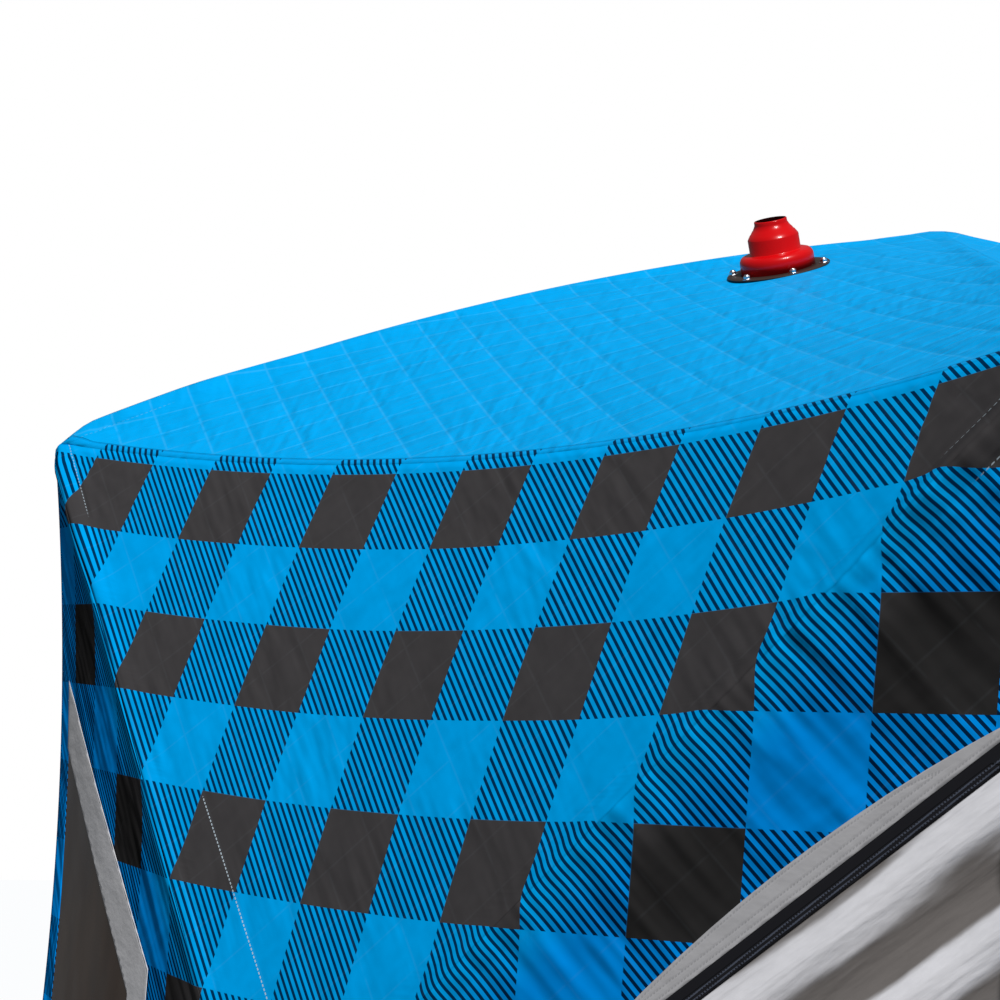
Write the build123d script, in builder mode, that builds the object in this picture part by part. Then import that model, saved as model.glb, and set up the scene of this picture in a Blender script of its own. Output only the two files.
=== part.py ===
from build123d import *
import os
from collections import namedtuple
from math import hypot

# Pop-up ice fishing hut: four quilted walls and a quilted roof, each pushed out into a shallow
# pyramid by a hub with four flexible rods that reach its corners. The door side faces -Y.
# Millimetres, +Z up, the origin on the ground at the middle of the footprint.

# Outer shell
top_width = 1800.0
base_width = 1880.0
wall_height = 1620.0
hub_height = 750.0
hub_reach = 1104.0
roof_rise = 371.0
top_edge_bow = 98.0
side_edge_bow = 77.0
bottom_edge_bow = 55.0
roof_rod_bow = 58.0
straight_rod_bow = 1.0
panel_thickness = 6.0
seam_gap = 0.3

# Frame of rods
rod_radius = 5.5
socket_wall = 2.5
socket_length = 46.0
rod_clearance = 0.4
socket_clearance = 0.8
rod_start = 24.0
hub_body_radius = 36.0
hub_body_height = 20.0
hub_body_depth = 18.0
hub_stud_radius = 7.0
cap_seat = 1.2
hub_cap_radius = 30.0
hub_cap_height = 6.0
peak_cover_radius = 16.0
peak_cover_height = 12.0
peak_cover_taper = 14.0
corner_ball_radius = 14.0
corner_inset = 30.0
corner_rod_start = 15.0
foot_radius = 24.0
foot_height = 10.0
foot_inset = 46.0
foot_rise = 26.0

# Snow skirt on the ground round the walls
skirt_width = 180.0
skirt_thickness = 2.0

# Window in the left face of each wall: a triangle with its tip cut off, lying on its side
window_edge_inset = 88.0
window_top_drop = 430.0
window_tip_inset = 487.0
window_slope = 0.765
window_border_width = 75.0
pane_thickness = 1.0

# Door in the right face of the front wall, and the zipper and the border sewn round it
door_edge_inset = 86.0
door_top_drop = 379.0
door_slope = 0.819
door_tip_radius = 120.0
zipper_width = 20.0
border_width = 8.0
border_belly = 22.0
border_belly_length = 418.0
door_thickness = 2.0
slider_from_edge = 400.0
slider_length = 44.0
slider_width = 16.0
slider_height = 6.0
slider_lift = 0.4

# Chimney boot on the front face of the roof, bolted through a clamping plate
boot_share_left = 0.192
boot_share_right = 0.135
boot_plate_radius = 71.0
boot_plate_thickness = 2.0
boot_plate_lift = 1.1
boot_hole_radius = 40.0
boot_base_radius = 51.0
boot_base_height = 15.0
boot_bell_radius = 43.0
boot_bell_height = 24.0
boot_shoulder_radius = 35.0
boot_shoulder_height = 46.0
boot_lip_radius = 22.5
boot_height = 69.0
boot_collar = 5.0
boot_wall = 3.0
boot_bolts = 6
bolt_circle_radius = 64.0
bolt_start_angle = 28.5
bolt_radius = 2.5
bolt_head_radius = 5.0
bolt_head_height = 7.0

# Pull loops at the four wall hubs
loop_width = 25.0
loop_thickness = 2.0
loop_length = 80.0
loop_play = 0.5
bar_radius = 3.0
ear_thickness = 4.0

section_shares = (0.015, 0.3, 0.55, 0.78, 1.0)
up = Vector(0, 0, 1)

# A face of a wall or of the roof: the hub end, its two corners, the pull of its free edge towards the
# inside, the inward direction of the joint along each rod, and how far each rod is bent outwards.
Face3 = namedtuple("Face3", "hub a b bow joint_a joint_b bend_a bend_b")


def unit(x, y, z):
    """Return a vector of length one."""
    return Vector(x, y, z).normalized()


def flat_normal(hub, a, b):
    """Return the inward normal of the flat triangle through a hub and two corners."""
    normal = (a - hub).cross(b - hub).normalized()
    inside = Vector(0, 0, hub_height) - hub
    return normal if normal.dot(inside) > 0 else normal * -1


def rod_line(hub, corner, bend, share):
    """Return the outer point on a ridge at a share of the way from the hub to the corner."""
    return hub + (corner - hub) * share + up * (4 * bend * share * (1 - share))


def rod_tangent(hub, corner, bend, share):
    """Return the direction of a ridge at a share of the way from the hub to the corner."""
    return (corner - hub + up * (4 * bend * (1 - 2 * share))).normalized()


def section_plane(face, share):
    """Return the plane of the section that crosses a face, and half the section's width."""
    a = rod_line(face.hub, face.a, face.bend_a, share)
    b = rod_line(face.hub, face.b, face.bend_b, share)
    along = (a - b).normalized()
    plane = Plane(origin=(a + b) * 0.5, x_dir=along, z_dir=along.cross(face.bow))
    return plane, (a - b).length / 2


def joint_slope(face, plane, corner, bend, joint, share):
    """Return how far the joint along a rod runs sideways per unit of depth, and the seam's side step."""
    ridge = rod_tangent(face.hub, corner, bend, share)
    joint_normal = ridge.cross(joint).normalized()
    line = plane.z_dir.cross(joint_normal)
    slope = line.dot(plane.x_dir) / line.dot(plane.y_dir)
    return slope, seam_gap / 2 / abs(joint_normal.dot(plane.x_dir))


def face_layer(face, outer=0.0, depth=panel_thickness):
    """Loft a layer of a face from near its hub to its free edge, between two depths under its skin."""
    inward = flat_normal(face.hub, face.a, face.b)
    reach = ((face.a + face.b) * 0.5 - face.hub).length
    with BuildPart() as layer:
        for share in section_shares:
            cut = min(share, 1 - seam_gap / reach)
            plane, half = section_plane(face, cut)
            scale_in = 1 / inward.dot(plane.y_dir)
            near, far = outer * scale_in, (outer + depth) * scale_in
            sag = face.bow.length * cut**2
            slope_a, step_a = joint_slope(face, plane, face.a, face.bend_a, face.joint_a, cut)
            slope_b, step_b = joint_slope(face, plane, face.b, face.bend_b, face.joint_b, cut)
            right, left = half - step_a, -half + step_b
            with BuildSketch(plane):
                with BuildLine():
                    outside = ThreePointArc(
                        (right + slope_a * near, near), (0, near + sag), (left + slope_b * near, near)
                    )
                    inside = ThreePointArc(
                        (left + slope_b * far, far), (0, far + sag), (right + slope_a * far, far)
                    )
                    Line(outside @ 1, inside @ 0)
                    Line(inside @ 1, outside @ 0)
                make_face()
        loft()
    return layer.part


# Corners and hubs of the front wall and the roof
top_left = Vector(-top_width / 2, -top_width / 2, wall_height)
top_right = Vector(top_width / 2, -top_width / 2, wall_height)
bottom_left = Vector(-base_width / 2, -base_width / 2, 0)
bottom_right = Vector(base_width / 2, -base_width / 2, 0)
wall_hub = Vector(0, -hub_reach, hub_height)
roof_hub = Vector(0, 0, wall_height + roof_rise)

# The roof and the wall pull the edge between them along the line that halves their angle
roof_pull = unit(0, top_width / 2, roof_rise)
wall_pull = unit(0, -(hub_reach - top_width / 2), -(wall_height - hub_height))
top_bow = (roof_pull + wall_pull).normalized() * top_edge_bow
left_bow = unit(1, 1, 0) * side_edge_bow
right_bow = unit(-1, 1, 0) * side_edge_bow
bottom_bow = Vector(0, 1, 0) * bottom_edge_bow

inward_top = flat_normal(wall_hub, top_left, top_right)
inward_left = flat_normal(wall_hub, top_left, bottom_left)
inward_right = flat_normal(wall_hub, top_right, bottom_right)
inward_bottom = flat_normal(wall_hub, bottom_left, bottom_right)
joint_top_left = (inward_top + inward_left).normalized()
joint_top_right = (inward_top + inward_right).normalized()
joint_bottom_left = (inward_bottom + inward_left).normalized()
joint_bottom_right = (inward_bottom + inward_right).normalized()

top_face = Face3(wall_hub, top_right, top_left, top_bow, joint_top_right, joint_top_left, 0, 0)
left_face = Face3(wall_hub, top_left, bottom_left, left_bow, joint_top_left, joint_bottom_left, 0, 0)
right_face = Face3(
    wall_hub, bottom_right, top_right, right_bow, joint_bottom_right, joint_top_right, 0, 0
)
bottom_face = Face3(
    wall_hub, bottom_left, bottom_right, bottom_bow, joint_bottom_left, joint_bottom_right, 0, 0
)


def roof_face(turn):
    """Return a roof face, turned about the hut's axis from the front; the front right rod is straight."""
    spin = Axis.Z
    right = top_right.rotate(spin, turn)
    left = top_left.rotate(spin, turn)
    bend_right = straight_rod_bow if turn == 0 else roof_rod_bow
    bend_left = straight_rod_bow if turn == 90 else roof_rod_bow
    down = up * -1
    return Face3(
        roof_hub, right, left, top_bow.rotate(spin, turn), down, down, bend_right, bend_left
    )


def wall_plane(inward):
    """Return the plane on a side face of the front wall: local x to the right, local y up."""
    along = Vector(1, 0, 0) - inward * inward.X
    return Plane(origin=wall_hub, x_dir=along, z_dir=inward * -1)


sides = {"front": 0, "right": 90, "back": 180, "left": 270}
kept = {}


def keep(name, part, turn=0):
    """Turn a finished piece to its side of the hut, label it and keep it for export."""
    piece = part.rotate(Axis.Z, turn) if turn else part
    piece.label = name
    kept[name] = piece


def around(piece):
    """Repeat a piece of the front wall on all four walls, as solids of one sub-part."""
    with BuildPart() as four:
        for turn in sides.values():
            add(piece.rotate(Axis.Z, turn) if turn else piece)
    return four.part


# Window: outline of the opening in the left face, in the plane of that face
window_plane = wall_plane(inward_left)
window_left = window_plane.to_local_coords(
    Vector(-top_width / 2 + window_edge_inset, -top_width / 2, hub_height)
).X
window_right = window_plane.to_local_coords(
    Vector(-top_width / 2 + window_tip_inset, -top_width / 2 - 1, hub_height)
).X
window_high = wall_height - window_top_drop - hub_height
slant = hypot(1, window_slope)


def window_outline(grow):
    """Return the window's corners, with its slanted sides and its tip moved outwards."""
    high = window_high + grow * slant
    tip = window_right + grow
    low_tip = high - (tip - window_left) * window_slope
    return [(window_left, -high), (tip, -low_tip), (tip, low_tip), (window_left, high)]


def inset_outline(points, gap):
    """Shrink an outline by a small gap on every side."""
    with BuildSketch(mode=Mode.PRIVATE) as shape:
        with BuildLine():
            Polyline(*points, close=True)
        make_face()
        offset(amount=-gap, kind=Kind.INTERSECTION)
    return shape.sketch


def cut_piece(layer, plane, sketch, mode, reach=200.0):
    """Keep or remove the part of a layer that lies over a flat sketch."""
    with BuildPart() as piece:
        add(layer)
        with BuildSketch(plane):
            add(sketch)
        extrude(amount=reach, both=True, mode=mode)
    return piece.part


def outline_sketch(points):
    """Fill a closed outline."""
    with BuildSketch(mode=Mode.PRIVATE) as shape:
        with BuildLine():
            Polyline(*points, close=True)
        make_face()
    return shape.sketch


left_layer = face_layer(left_face)
window_hole = outline_sketch(window_outline(window_border_width))
pane_hole = outline_sketch(window_outline(0))
window_ring = inset_outline(window_outline(window_border_width), seam_gap) - pane_hole
windowed_panel = cut_piece(left_layer, window_plane, window_hole, Mode.SUBTRACT)
window_border = cut_piece(left_layer, window_plane, window_ring, Mode.INTERSECT)
pane_layer = face_layer(left_face, panel_thickness / 2, pane_thickness)
window_pane = cut_piece(
    pane_layer, window_plane, inset_outline(window_outline(0), seam_gap), Mode.INTERSECT
)

# Door: a triangle lying on its side, its tip rounded towards the hub, hinged by its cloth at the edge
door_plane = wall_plane(inward_right)
door_right = door_plane.to_local_coords(
    Vector(top_width / 2 - door_edge_inset, -top_width / 2, hub_height)
).X
door_high = wall_height - door_top_drop - hub_height


def door_outline(grow, belly=0.0):
    """Return the filled door outline, its slanted sides moved outwards and bellied, its tip rounded."""
    high = door_high + grow * hypot(1, door_slope)
    tip = door_right - high / door_slope
    belly_left = door_right - border_belly_length
    belly_low = high - border_belly_length * door_slope
    belly_middle = (high + belly_low) / 2 + belly * hypot(1, door_slope)
    with BuildSketch(mode=Mode.PRIVATE) as shape:
        with BuildLine():
            Polyline((door_right, high), (tip, 0), (door_right, -high), close=True)
        make_face()
        tip_corner = shape.vertices().sort_by(Axis.X)[0]
        fillet(tip_corner, door_tip_radius + grow)
        if belly:
            for side in (1, -1):
                with BuildLine():
                    ThreePointArc(
                        (door_right, side * high),
                        ((door_right + belly_left) / 2, side * belly_middle),
                        (belly_left, side * belly_low),
                    )
                    Line((belly_left, side * belly_low), (door_right, side * high))
                make_face()
    return shape.sketch


right_layer = face_layer(right_face)
border_outer = door_outline(zipper_width + border_width, border_belly)
border_inner = door_outline(zipper_width)
zipper_outer = door_outline(zipper_width - seam_gap)
zipper_inner = door_outline(seam_gap)
door_panel_layer = face_layer(right_face, (panel_thickness - door_thickness) / 2, door_thickness)

front_right_panel = cut_piece(right_layer, door_plane, border_outer, Mode.SUBTRACT)
border_seamed = door_outline(zipper_width + border_width - seam_gap, border_belly)
border_ring = border_seamed - border_inner
door_border = cut_piece(right_layer, door_plane, border_ring, Mode.INTERSECT)
door_zipper = cut_piece(right_layer, door_plane, zipper_outer - zipper_inner, Mode.INTERSECT)
door_panel = cut_piece(door_panel_layer, door_plane, door_outline(0), Mode.INTERSECT)



def corner_trimmed(layer):
    """Trim a layer of the front wall at the upright planes through the corners of the hut."""
    with BuildPart() as trimmed:
        add(layer)
        for sideways in (1, -1):
            corner_cut = Plane(origin=(0, -seam_gap, 0), z_dir=(sideways, -1, 0))
            split(bisect_by=corner_cut, keep=Keep.TOP)
    return trimmed.part


# Walls
top_layer = corner_trimmed(face_layer(top_face))
bottom_layer = corner_trimmed(face_layer(bottom_face))
for side, turn in sides.items():
    keep(side + "_wall_top", top_layer, turn)
    keep(side + "_wall_left", windowed_panel, turn)
    keep(side + "_wall_right", front_right_panel if side == "front" else right_layer, turn)
    keep(side + "_wall_bottom", bottom_layer, turn)
keep("window_borders", around(window_border))
keep("window_panes", around(window_pane))
keep("door_border", door_border)
keep("door_zipper", door_zipper)
keep("door_panel", door_panel)

# Roof, with a hole under the chimney boot
roof_front = roof_face(0)


def patch_point(face, share_a, share_b):
    """Return the outer point of a face at shares of its two corners; the rest is its hub's share."""
    share_hub = 1 - share_a - share_b
    flat = face.a * share_a + face.b * share_b + face.hub * share_hub
    lift = up * (4 * share_hub * (face.bend_a * share_a + face.bend_b * share_b))
    return flat + lift + face.bow * (4 * share_a * share_b)


# The front face's corner a is the right one and its corner b the left one
small_step = 0.02
boot_seat = patch_point(roof_front, boot_share_right, boot_share_left)
step_right = patch_point(roof_front, boot_share_right + small_step, boot_share_left) - boot_seat
step_left = patch_point(roof_front, boot_share_right, boot_share_left + small_step) - boot_seat
boot_axis = step_left.cross(step_right).normalized()
boot_axis = boot_axis if boot_axis.Z > 0 else boot_axis * -1
boot_along = Vector(1, 0, 0) - boot_axis * boot_axis.X
boot_plane = Plane(origin=boot_seat, x_dir=boot_along, z_dir=boot_axis)

with BuildPart() as holed_roof:
    add(face_layer(roof_front))
    with BuildSketch(boot_plane):
        Circle(boot_hole_radius)
        with PolarLocations(bolt_circle_radius, boot_bolts, start_angle=bolt_start_angle):
            Circle(bolt_radius + seam_gap)
    extrude(amount=panel_thickness * 3, both=True, mode=Mode.SUBTRACT)
keep("roof_front", holed_roof.part)
for side, turn in sides.items():
    if side != "front":
        keep("roof_" + side, face_layer(roof_face(turn)))

plate_base = boot_plane.offset(boot_plate_lift)
with BuildPart() as chimney_plate:
    with BuildSketch(plate_base):
        Circle(boot_plate_radius)
        Circle(boot_hole_radius, mode=Mode.SUBTRACT)
        with PolarLocations(bolt_circle_radius, boot_bolts, start_angle=bolt_start_angle):
            Circle(bolt_radius + seam_gap, mode=Mode.SUBTRACT)
    extrude(amount=boot_plate_thickness)
keep("chimney_plate", chimney_plate.part)

boot_base = plate_base.offset(boot_plate_thickness)
profile_plane = Plane(origin=boot_base.origin, x_dir=boot_base.x_dir, z_dir=boot_base.y_dir * -1)
with BuildPart() as chimney_boot:
    with BuildSketch(profile_plane):
        with BuildLine():
            foot = Line((boot_base_radius, 0), (boot_base_radius, boot_base_height))
            bell = TangentArc(foot @ 1, (boot_bell_radius, boot_bell_height), tangent=foot % 1)
            step = Line(bell @ 1, (boot_shoulder_radius, boot_bell_height + boot_wall))
            neck = Line(step @ 1, (boot_shoulder_radius, boot_shoulder_height))
            cone = Line(neck @ 1, (boot_lip_radius, boot_height - boot_collar))
            collar = Line(cone @ 1, (boot_lip_radius, boot_height))
            lip = Line(collar @ 1, (boot_lip_radius - boot_wall, boot_height))
            mouth = Line(lip @ 1, (boot_lip_radius - boot_wall, boot_height - boot_collar))
            bore = Line(mouth @ 1, (boot_shoulder_radius - boot_wall, boot_shoulder_height))
            throat = Line(bore @ 1, (boot_shoulder_radius - boot_wall, boot_bell_height))
            shelf = Line(throat @ 1, (boot_bell_radius - boot_wall, boot_bell_height - boot_wall))
            skirt_in = Line(shelf @ 1, (boot_bell_radius, boot_base_height))
            Polyline(skirt_in @ 1, (boot_bell_radius, 0), foot @ 0)
        make_face()
    revolve(axis=Axis(boot_base.origin, boot_axis))
keep("chimney_boot", chimney_boot.part)

with BuildPart() as chimney_bolts:
    with BuildSketch(boot_base):
        with PolarLocations(bolt_circle_radius, boot_bolts, start_angle=bolt_start_angle):
            RegularPolygon(bolt_head_radius, 6)
    extrude(amount=bolt_head_height)
    with BuildSketch(boot_base):
        with PolarLocations(bolt_circle_radius, boot_bolts, start_angle=bolt_start_angle):
            Circle(bolt_radius)
    extrude(amount=-(boot_plate_thickness + boot_plate_lift + panel_thickness))
keep("chimney_bolts", chimney_bolts.part)

# Frame: every rod runs close under a ridge, from a socket on its hub to a ball in its corner
socket_radius = rod_radius + rod_clearance + socket_wall
rod_drop = panel_thickness + socket_radius + socket_clearance
Rod = namedtuple("Rod", "start middle end tangent_start tangent_end")


def corner_ball(corner, rise):
    """Return the middle of the joint where the rods of a corner meet, seen from the corner's skin."""
    inset = corner_inset if rise < 0 else foot_inset
    toward_x = -inset if corner.X > 0 else inset
    return corner + Vector(toward_x, inset, rise)


def rod_under(hub, corner, joint, ball, bend):
    """Return the route of the rod under a ridge."""
    length = (corner - hub).length
    share = rod_start / length
    start = rod_line(hub, corner, bend, share) + joint * rod_drop
    near_ball = ball - rod_line(hub, corner, bend, 1)
    middle = rod_line(hub, corner, bend, 0.5) + (joint * rod_drop + near_ball) * 0.5
    if bend == 0:
        direction = (ball - start).normalized()
        end = ball - direction * corner_rod_start
        return Rod(start, (start + end) * 0.5, end, direction, direction)
    with BuildLine(mode=Mode.PRIVATE) as route:
        whole = ThreePointArc(start, middle, ball)
    cut = 1 - corner_rod_start / whole.length
    return Rod(start, whole @ (cut / 2), whole @ cut, whole % 0, whole % cut)


def sweep_rod(rod):
    """Sweep a round rod along its route."""
    with BuildPart() as swept:
        with BuildLine():
            if (rod.tangent_start - rod.tangent_end).length > 0.001:
                ThreePointArc(rod.start, rod.middle, rod.end)
            else:
                Line(rod.start, rod.end)
        with BuildSketch(Plane(origin=rod.start, z_dir=rod.tangent_start)):
            Circle(rod_radius)
        sweep()
    return swept.part


ball_top_left = corner_ball(top_left, -corner_inset)
ball_top_right = corner_ball(top_right, -corner_inset)
ball_bottom_left = corner_ball(bottom_left, foot_rise)
ball_bottom_right = corner_ball(bottom_right, foot_rise)
wall_rods = [
    rod_under(wall_hub, top_left, joint_top_left, ball_top_left, 0),
    rod_under(wall_hub, top_right, joint_top_right, ball_top_right, 0),
    rod_under(wall_hub, bottom_left, joint_bottom_left, ball_bottom_left, 0),
    rod_under(wall_hub, bottom_right, joint_bottom_right, ball_bottom_right, 0),
]
with BuildPart() as wall_frame:
    for rod in wall_rods:
        add(sweep_rod(rod))
for side, turn in sides.items():
    keep(side + "_rods", wall_frame.part, turn)

roof_rods = []
for side, turn in sides.items():
    bend = straight_rod_bow if side == "front" else roof_rod_bow
    corner = top_right.rotate(Axis.Z, turn)
    ball = ball_top_right.rotate(Axis.Z, turn)
    roof_rods.append(rod_under(roof_hub, corner, up * -1, ball, bend))
with BuildPart() as roof_frame:
    for rod in roof_rods:
        add(sweep_rod(rod))
keep("roof_rods", roof_frame.part)


def hub_body(hub, outward, rods):
    """Build a hub: a puck under the cloth with a socket for each rod, and a stud out to its cap."""
    top = Plane(origin=hub - outward * hub_body_depth, z_dir=outward)
    with BuildPart() as hub_part:
        with BuildSketch(top):
            Circle(hub_body_radius)
        extrude(amount=-hub_body_height)
        with BuildSketch(top):
            Circle(hub_stud_radius)
        extrude(amount=hub_body_depth - cap_seat)
        for rod in rods:
            with BuildSketch(Plane(origin=rod.start, z_dir=rod.tangent_start)):
                Circle(socket_radius)
            extrude(amount=socket_length)
        for rod in rods:
            with BuildSketch(Plane(origin=rod.start, z_dir=rod.tangent_start)):
                Circle(rod_radius + rod_clearance)
            extrude(amount=socket_length, mode=Mode.SUBTRACT)
    return hub_part.part


wall_hub_part = hub_body(wall_hub, Vector(0, -1, 0), wall_rods)
keep("wall_hubs", around(wall_hub_part))
keep("roof_hub", hub_body(roof_hub, up, roof_rods))

# Caps outside the cloth: on each wall a disc with a bar for the pull loop
cap_plane = Plane(origin=wall_hub + Vector(0, cap_seat, 0), x_dir=(1, 0, 0), z_dir=(0, -1, 0))
bar_height = hub_cap_height + loop_thickness + loop_play + bar_radius
with BuildPart() as wall_cap:
    with BuildSketch(cap_plane):
        Circle(hub_cap_radius)
    extrude(amount=hub_cap_height)
    rim = wall_cap.edges().filter_by(GeomType.CIRCLE).sort_by(Axis.Y)[0]
    fillet(rim, hub_cap_height / 3)
    ear_step = loop_width / 2 + ear_thickness / 2 + loop_play
    with BuildSketch(cap_plane.offset(hub_cap_height)):
        with Locations((-ear_step, 0), (ear_step, 0)):
            Rectangle(ear_thickness, bar_radius * 3)
    extrude(amount=bar_height - hub_cap_height + bar_radius * 1.5)
    bar_plane = Plane(origin=cap_plane.origin + cap_plane.z_dir * bar_height, z_dir=(1, 0, 0))
    with BuildSketch(bar_plane):
        Circle(bar_radius)
    extrude(amount=ear_step, both=True)
keep("hub_caps", around(wall_cap.part))

# Peak of the roof: a small flat-topped cover of the same cloth over the stud of the roof hub
with BuildPart() as peak_cover:
    with BuildSketch(Plane.XY.offset(roof_hub.Z - cap_seat)):
        Circle(peak_cover_radius)
    extrude(amount=peak_cover_height, taper=peak_cover_taper)
    top_edge = peak_cover.edges().group_by(Axis.Z)[-1]
    fillet(top_edge, peak_cover_height / 4)
keep("peak_cover", peak_cover.part)

# Pull loop: a flat strap round the bar of the cap, hanging down
loop_plane = Plane(origin=bar_plane.origin, x_dir=(0, 0, -1), z_dir=(1, 0, 0))
inner_bend = bar_radius + loop_play
with BuildPart() as pull_loop:
    with BuildSketch(loop_plane):
        with Locations((loop_length / 2, 0)):
            SlotCenterToCenter(loop_length, 2 * (inner_bend + loop_thickness))
            SlotCenterToCenter(loop_length, 2 * inner_bend, mode=Mode.SUBTRACT)
    extrude(amount=loop_width / 2, both=True)
keep("pull_loops", around(pull_loop.part))

# Corners: a ball with three sockets under each top corner, and a foot with two on the ground
def socket_ball(ball, rods):
    """Build the ball of a corner, with a bored socket round the end of each rod that meets it."""
    with BuildPart() as joint_part:
        with Locations(ball):
            Sphere(corner_ball_radius)
        for rod in rods:
            with BuildSketch(Plane(origin=ball, z_dir=rod.end - ball)):
                Circle(socket_radius)
            extrude(amount=socket_length)
        for rod in rods:
            with BuildSketch(Plane(origin=rod.end, z_dir=rod.end - ball).offset(-seam_gap)):
                Circle(rod_radius + rod_clearance)
            extrude(amount=socket_length, mode=Mode.SUBTRACT)
    return joint_part.part


def turned(rod, turn):
    """Turn a rod's route about the hut's axis."""
    return Rod(*(point.rotate(Axis.Z, turn) for point in rod))


bent_corner = socket_ball(ball_top_left, [wall_rods[0], turned(wall_rods[1], -90), roof_rods[3]])
straight_rod = turned(roof_rods[0], -90)
straight_corner = socket_ball(ball_top_left, [wall_rods[0], turned(wall_rods[1], -90), straight_rod])
with BuildPart() as top_corners:
    for turn in sides.values():
        corner_part = straight_corner if turn == 90 else bent_corner
        add(corner_part.rotate(Axis.Z, turn) if turn else corner_part)
keep("top_corners", top_corners.part)

with BuildPart() as foot_part:
    with BuildSketch(Plane.XY):
        with Locations((ball_bottom_left.X, ball_bottom_left.Y)):
            Circle(foot_radius)
    extrude(amount=foot_height)
    rim = foot_part.edges().group_by(Axis.Z)[-1]
    fillet(rim, foot_height / 4)
    with BuildSketch(Plane.XY):
        with Locations((ball_bottom_left.X, ball_bottom_left.Y)):
            Circle(socket_radius)
    extrude(amount=foot_rise)
    add(socket_ball(ball_bottom_left, [wall_rods[2], turned(wall_rods[3], -90)]))
keep("corner_feet", around(foot_part.part))

# Snow skirt: a flat strip on the ground along each wall, mitred at the corners
wall_lean = (hub_reach - base_width / 2 + 2 * bottom_edge_bow) / hub_height
skirt_gap = seam_gap + skirt_thickness * wall_lean
half_base = base_width / 2
inner_y = -half_base - skirt_gap
outer = half_base + skirt_width
with BuildPart() as skirt:
    with BuildSketch():
        with BuildLine():
            inner_edge = ThreePointArc(
                (-half_base, inner_y), (0, inner_y + bottom_edge_bow), (half_base, inner_y)
            )
            Polyline(inner_edge @ 1, (outer - skirt_gap, -outer), (skirt_gap - outer, -outer), inner_edge @ 0)
        make_face()
    extrude(amount=skirt_thickness)
for side, turn in sides.items():
    keep(side + "_skirt", skirt.part, turn)

# Slider of the door's zipper, near the top of its upper slanted side
def skin_point(face, plane, flat_x, flat_y):
    """Return the point of a face's skin that lies over a point of its flat plane."""
    wanted = plane.from_local_coords(Vector(flat_x, flat_y, 0))
    guess = wanted
    edge_a, edge_b = face.a - face.hub, face.b - face.hub
    doubled = edge_a.cross(edge_b)
    for _ in range(4):
        offset_in = guess - face.hub
        share_a = offset_in.cross(edge_b).dot(doubled) / doubled.dot(doubled)
        share_b = edge_a.cross(offset_in).dot(doubled) / doubled.dot(doubled)
        on_skin = patch_point(face, share_a, share_b)
        miss = wanted - on_skin
        guess = guess + miss - plane.z_dir * miss.dot(plane.z_dir)
    return on_skin


slider_x = door_right - slider_from_edge
slider_y = door_high - slider_from_edge * door_slope + zipper_width / 2 * hypot(1, door_slope)
slider_spot = skin_point(right_face, door_plane, slider_x, slider_y)
slider_tail = skin_point(right_face, door_plane, slider_x - slider_length, slider_y - slider_length * door_slope)
slider_side = skin_point(right_face, door_plane, slider_x - slider_width * door_slope, slider_y + slider_width)
slider_along = (slider_spot - slider_tail).normalized()
slider_out = slider_along.cross(slider_side - slider_spot).normalized()
slider_base = Plane(origin=slider_spot, x_dir=slider_along, z_dir=slider_out)
slider_plane = slider_base.offset(slider_lift)
with BuildPart() as zipper_slider:
    with BuildSketch(slider_plane):
        Trapezoid(slider_length / 2, slider_width, 80, rotation=90)
    extrude(amount=slider_height)
    with BuildSketch(slider_plane.offset(slider_height)):
        with Locations((-slider_length / 3, 0)):
            SlotOverall(slider_length, slider_width / 2)
    extrude(amount=slider_height / 3)
keep("zipper_slider", zipper_slider.part)

if __name__ == "__main__":
    os.makedirs("parts", exist_ok=True)
    for name, piece in kept.items():
        export_step(piece, f"parts/{name}.step")
        print(name, len(piece.solids()), round(piece.volume))
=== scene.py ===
"""Pop-up ice fishing hut: quilted plaid walls, a blue roof, a side door, windows and a chimney boot.

The cloth is built from the same curved faces as the frame's solids. Metres, +Z up, the door side
faces -Y. One wall is built at the front and turned to the other three sides.
"""

import logging
import math
from dataclasses import dataclass, field
from enum import Enum
from typing import Callable, Optional, Protocol, Sequence, Union

import bmesh
import bpy
from mathutils import Matrix, Vector, noise


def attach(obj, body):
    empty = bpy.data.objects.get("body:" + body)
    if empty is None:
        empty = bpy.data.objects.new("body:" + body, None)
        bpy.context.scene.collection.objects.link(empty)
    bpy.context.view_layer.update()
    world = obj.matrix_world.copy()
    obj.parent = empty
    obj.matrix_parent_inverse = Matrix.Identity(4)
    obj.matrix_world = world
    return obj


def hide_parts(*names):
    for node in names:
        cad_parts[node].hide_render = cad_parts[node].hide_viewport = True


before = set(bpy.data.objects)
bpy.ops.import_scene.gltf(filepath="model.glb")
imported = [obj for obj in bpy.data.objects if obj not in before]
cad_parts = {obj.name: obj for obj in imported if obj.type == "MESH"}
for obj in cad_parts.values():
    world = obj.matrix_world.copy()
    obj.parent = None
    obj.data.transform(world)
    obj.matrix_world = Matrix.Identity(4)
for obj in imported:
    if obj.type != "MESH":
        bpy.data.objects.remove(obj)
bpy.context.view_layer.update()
LOG = logging.getLogger("hut")

UP = Vector((0, 0, 1))
CLOTH_MAP = "cloth"  # The UV map that holds the place on the cloth, in plaid squares.
SEAMS = "seams"  # Each vertex's distances to the seams or rims near it.
ALONG = "along"  # Each vertex's distance along a seam, or the height of the door cloth's folds.
SHARES = "shares"  # Each vertex's shares of a face's two corners, until the cloth is laid.
MM = 1000.0
CELL_MM = 125.04  # The side of a plaid square.
SQUARES = MM / CELL_MM  # Plaid squares in a metre.
FIRST_SHARE = 0.015  # Where a face's mesh starts, as a share of the way out from its hub.
DIAGONAL = math.sqrt(0.5)


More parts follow.
